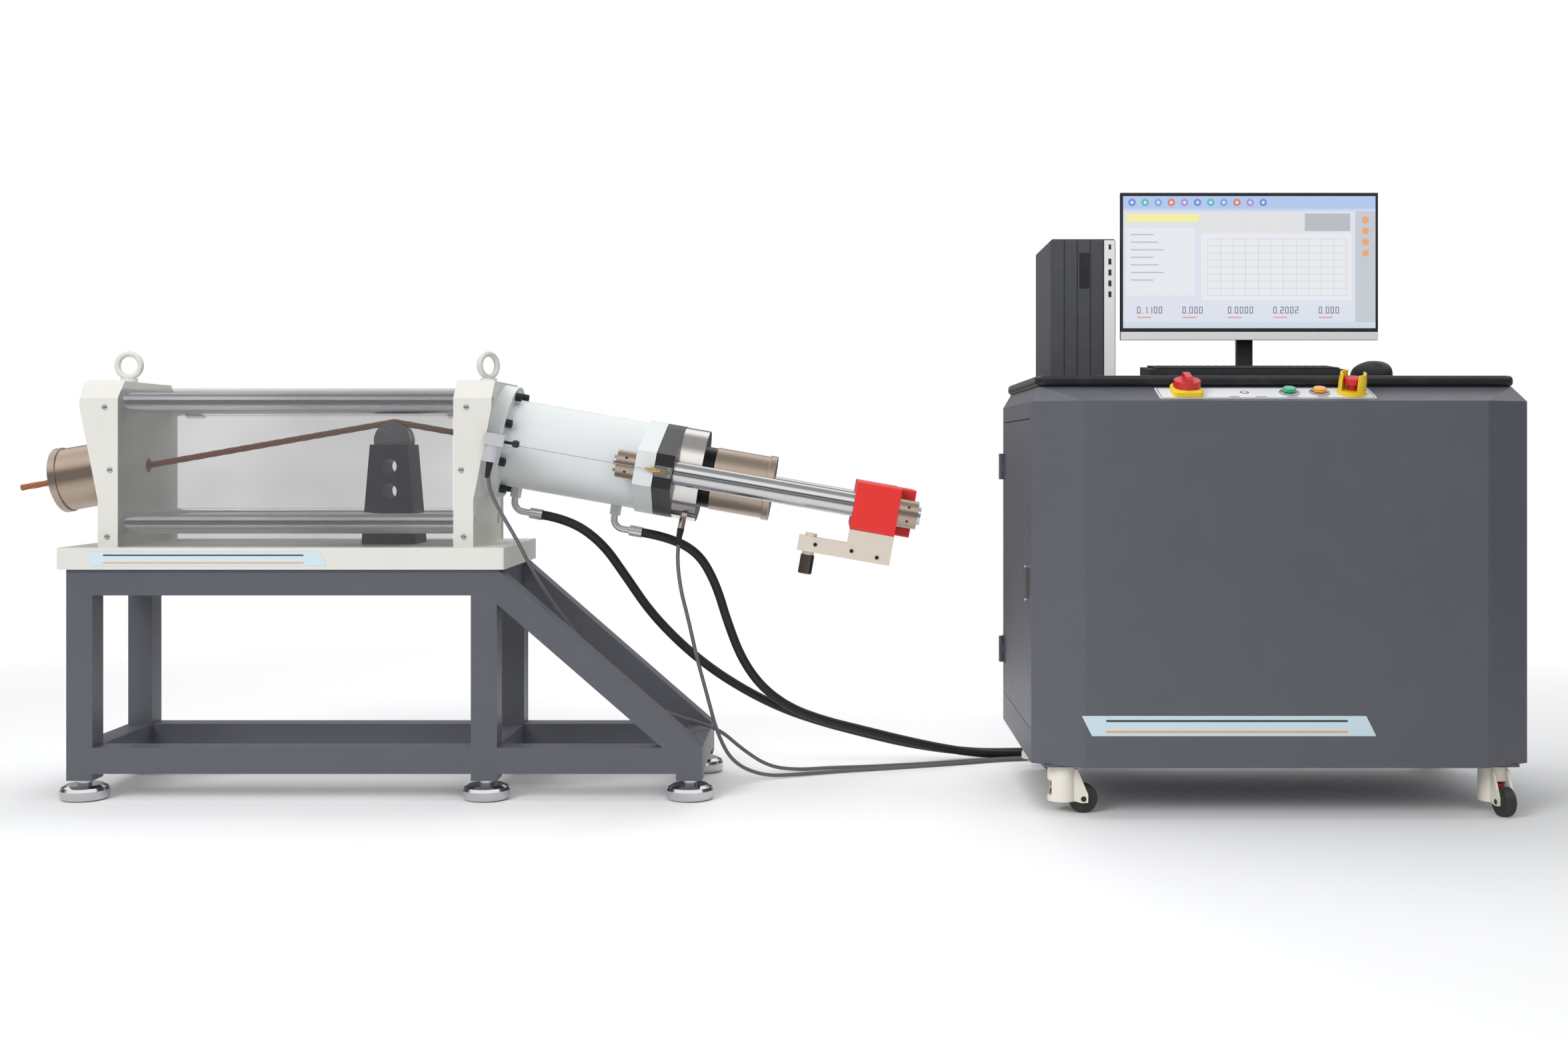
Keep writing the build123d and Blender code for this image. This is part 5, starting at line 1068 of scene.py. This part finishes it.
class TESTER_OT_stage(bpy.types.Operator):
    """Sets the pale floor, the soft light and the camera"""

    bl_idname = "tester.stage"
    bl_label = "Stage"

    def execute(self, context):
        scene = context.scene
        scene.view_settings.view_transform = "Standard"
        self.floor()
        self.world(scene)
        self.lamp("key", (-2.8, -4.0, 3.4), (0.1, 0, 0.5), 2.6, 166)
        self.lamp("fill", (1.4, -4.6, 2.6), (0.6, 0, 0.6), 2.4, 45)
        self.lamp("top", (0.0, 0.6, 4.2), (0, 0, 0.4), 3.4, 76)
        self.lamp("back", (0.4, 4.0, 2.6), (0, 0, 0.6), 2.6, 70)
        camera = bpy.data.objects.new("camera", bpy.data.cameras.new("camera"))
        camera.data.sensor_width = 36.0
        camera.data.lens = 36.0 * FOCAL / PHOTO_WIDE
        camera.data.shift_x = (PHOTO_WIDE / 2 - CENTRE[0]) / PHOTO_WIDE
        camera.data.shift_y = (CENTRE[1] - PHOTO_TALL / 2) / PHOTO_WIDE
        camera.location = CAMERA_AT
        camera.rotation_euler = (math.pi / 2, 0, 0)
        scene.collection.objects.link(camera)
        scene.camera = camera
        return {"FINISHED"}

    def floor(self):
        """A pale floor that fades out with the distance from the machine."""
        f = Finish("studio_floor", Roughness=0.75, Specular_IOR_Level=0.2)
        away = f.add("ShaderNodeVectorMath", {"operation": "LENGTH"}, {0: f.place((0.7, 1, 1))}, "Value")
        f.drive(
            Base_Color=f.mix(f.noise(3.0, 2), (0.93, 0.93, 0.93, 1), (0.95, 0.95, 0.95, 1)),
            Alpha=f.ramp(away * 0.25, [(0.35, 1.0), (0.8, 0.0)]),
        )
        x, y = np.meshgrid(np.linspace(-6, 6, 3), np.linspace(-6, 6, 3))
        points = np.stack([x, y, 0 * x - 0.0004], -1).reshape(-1, 3)
        plane = new_piece("studio_floor", points, grid_faces(3, 3, False), f.material, None, None, False)

    def world(self, scene):
        """Even light, white where the camera looks past everything, banded for reflections."""
        world = bpy.data.worlds.new("studio")
        scene.world = world
        world.use_nodes = True
        n = Nodes(world.node_tree)
        n.tree.nodes.remove(n.tree.nodes["Background"])
        light = "ShaderNodeBackground"
        sky = n.add(light, None, {"Color": (0.95, 0.97, 1.0, 1), "Strength": 0.42})
        white = n.add(light, None, {"Color": (1, 1, 1, 1), "Strength": 1.0})
        up = n.add("ShaderNodeSeparateXYZ", None, {0: n.add("ShaderNodeTexCoord", out="Generated")}, "Z")
        steps = [(0.40, 0.28), (0.49, 0.03), (0.52, 0.32), (0.58, 0.40), (0.62, 0.05)]
        steps += [(0.70, 0.06), (0.76, 0.93), (0.90, 1.00), (0.97, 0.33)]
        room = n.add(light, None, {"Color": n.ramp(up * 0.5 + 0.5, steps), "Strength": 1.4})
        glossy = n.add("ShaderNodeLightPath", out="Is Glossy Ray")
        straight = n.add("ShaderNodeLightPath", out="Is Camera Ray")
        shiny = n.add("ShaderNodeMixShader", None, {0: glossy, 1: sky, 2: room})
        seen = n.add("ShaderNodeMixShader", None, {0: straight, 1: shiny, 2: white})
        n.put(n.tree.nodes["World Output"].inputs["Surface"], seen)

    def lamp(self, name, place, target, size, power):
        """A square soft lamp that looks at a target and isn't mirrored in the metal."""
        data = bpy.data.lights.new(name, "AREA")
        data.energy = power
        data.size = size
        lamp = bpy.data.objects.new(name, data)
        lamp.location = place
        lamp.visible_glossy = False
        aim = np.array(target) - np.array(place)
        yaw = math.atan2(aim[0], -aim[1])
        pitch = math.acos(-aim[2] / np.linalg.norm(aim))
        lamp.rotation_euler = (pitch, 0, yaw + math.pi)
        bpy.context.scene.collection.objects.link(lamp)


class TESTER_PT_panel(bpy.types.Panel):
    """Lists the steps that dress the machine"""

    bl_label = "Strand tester"
    bl_idname = "TESTER_PT_panel"
    bl_space_type = "VIEW_3D"
    bl_region_type = "UI"
    bl_category = "Strand tester"

    def draw(self, context):
        for step in STEPS:
            self.layout.operator(step.bl_idname)


STEPS = [
    TESTER_OT_finishes, TESTER_OT_strand, TESTER_OT_cords, TESTER_OT_screws,
    TESTER_OT_wire, TESTER_OT_bands, TESTER_OT_controls, TESTER_OT_screen,
    TESTER_OT_computer, TESTER_OT_casters, TESTER_OT_mouse, TESTER_OT_stage,
]
CLASSES = [Colours, Sizes, *STEPS, TESTER_PT_panel]


def register():
    """Registers the add-on's classes and settings."""
    for item in CLASSES:
        bpy.utils.register_class(item)
    bpy.types.Scene.tester_colours = bpy.props.PointerProperty(type=Colours)
    bpy.types.Scene.tester_sizes = bpy.props.PointerProperty(type=Sizes)


def unregister():
    """Takes the add-on's classes and settings away."""
    del bpy.types.Scene.tester_sizes
    del bpy.types.Scene.tester_colours
    for item in reversed(CLASSES):
        bpy.utils.unregister_class(item)


def main():
    """Dresses the machine and sets the stage."""
    register()
    for step in STEPS:
        group, name = step.bl_idname.split(".")
        getattr(getattr(bpy.ops, group), name)()


if __name__ == "__main__":
    main()
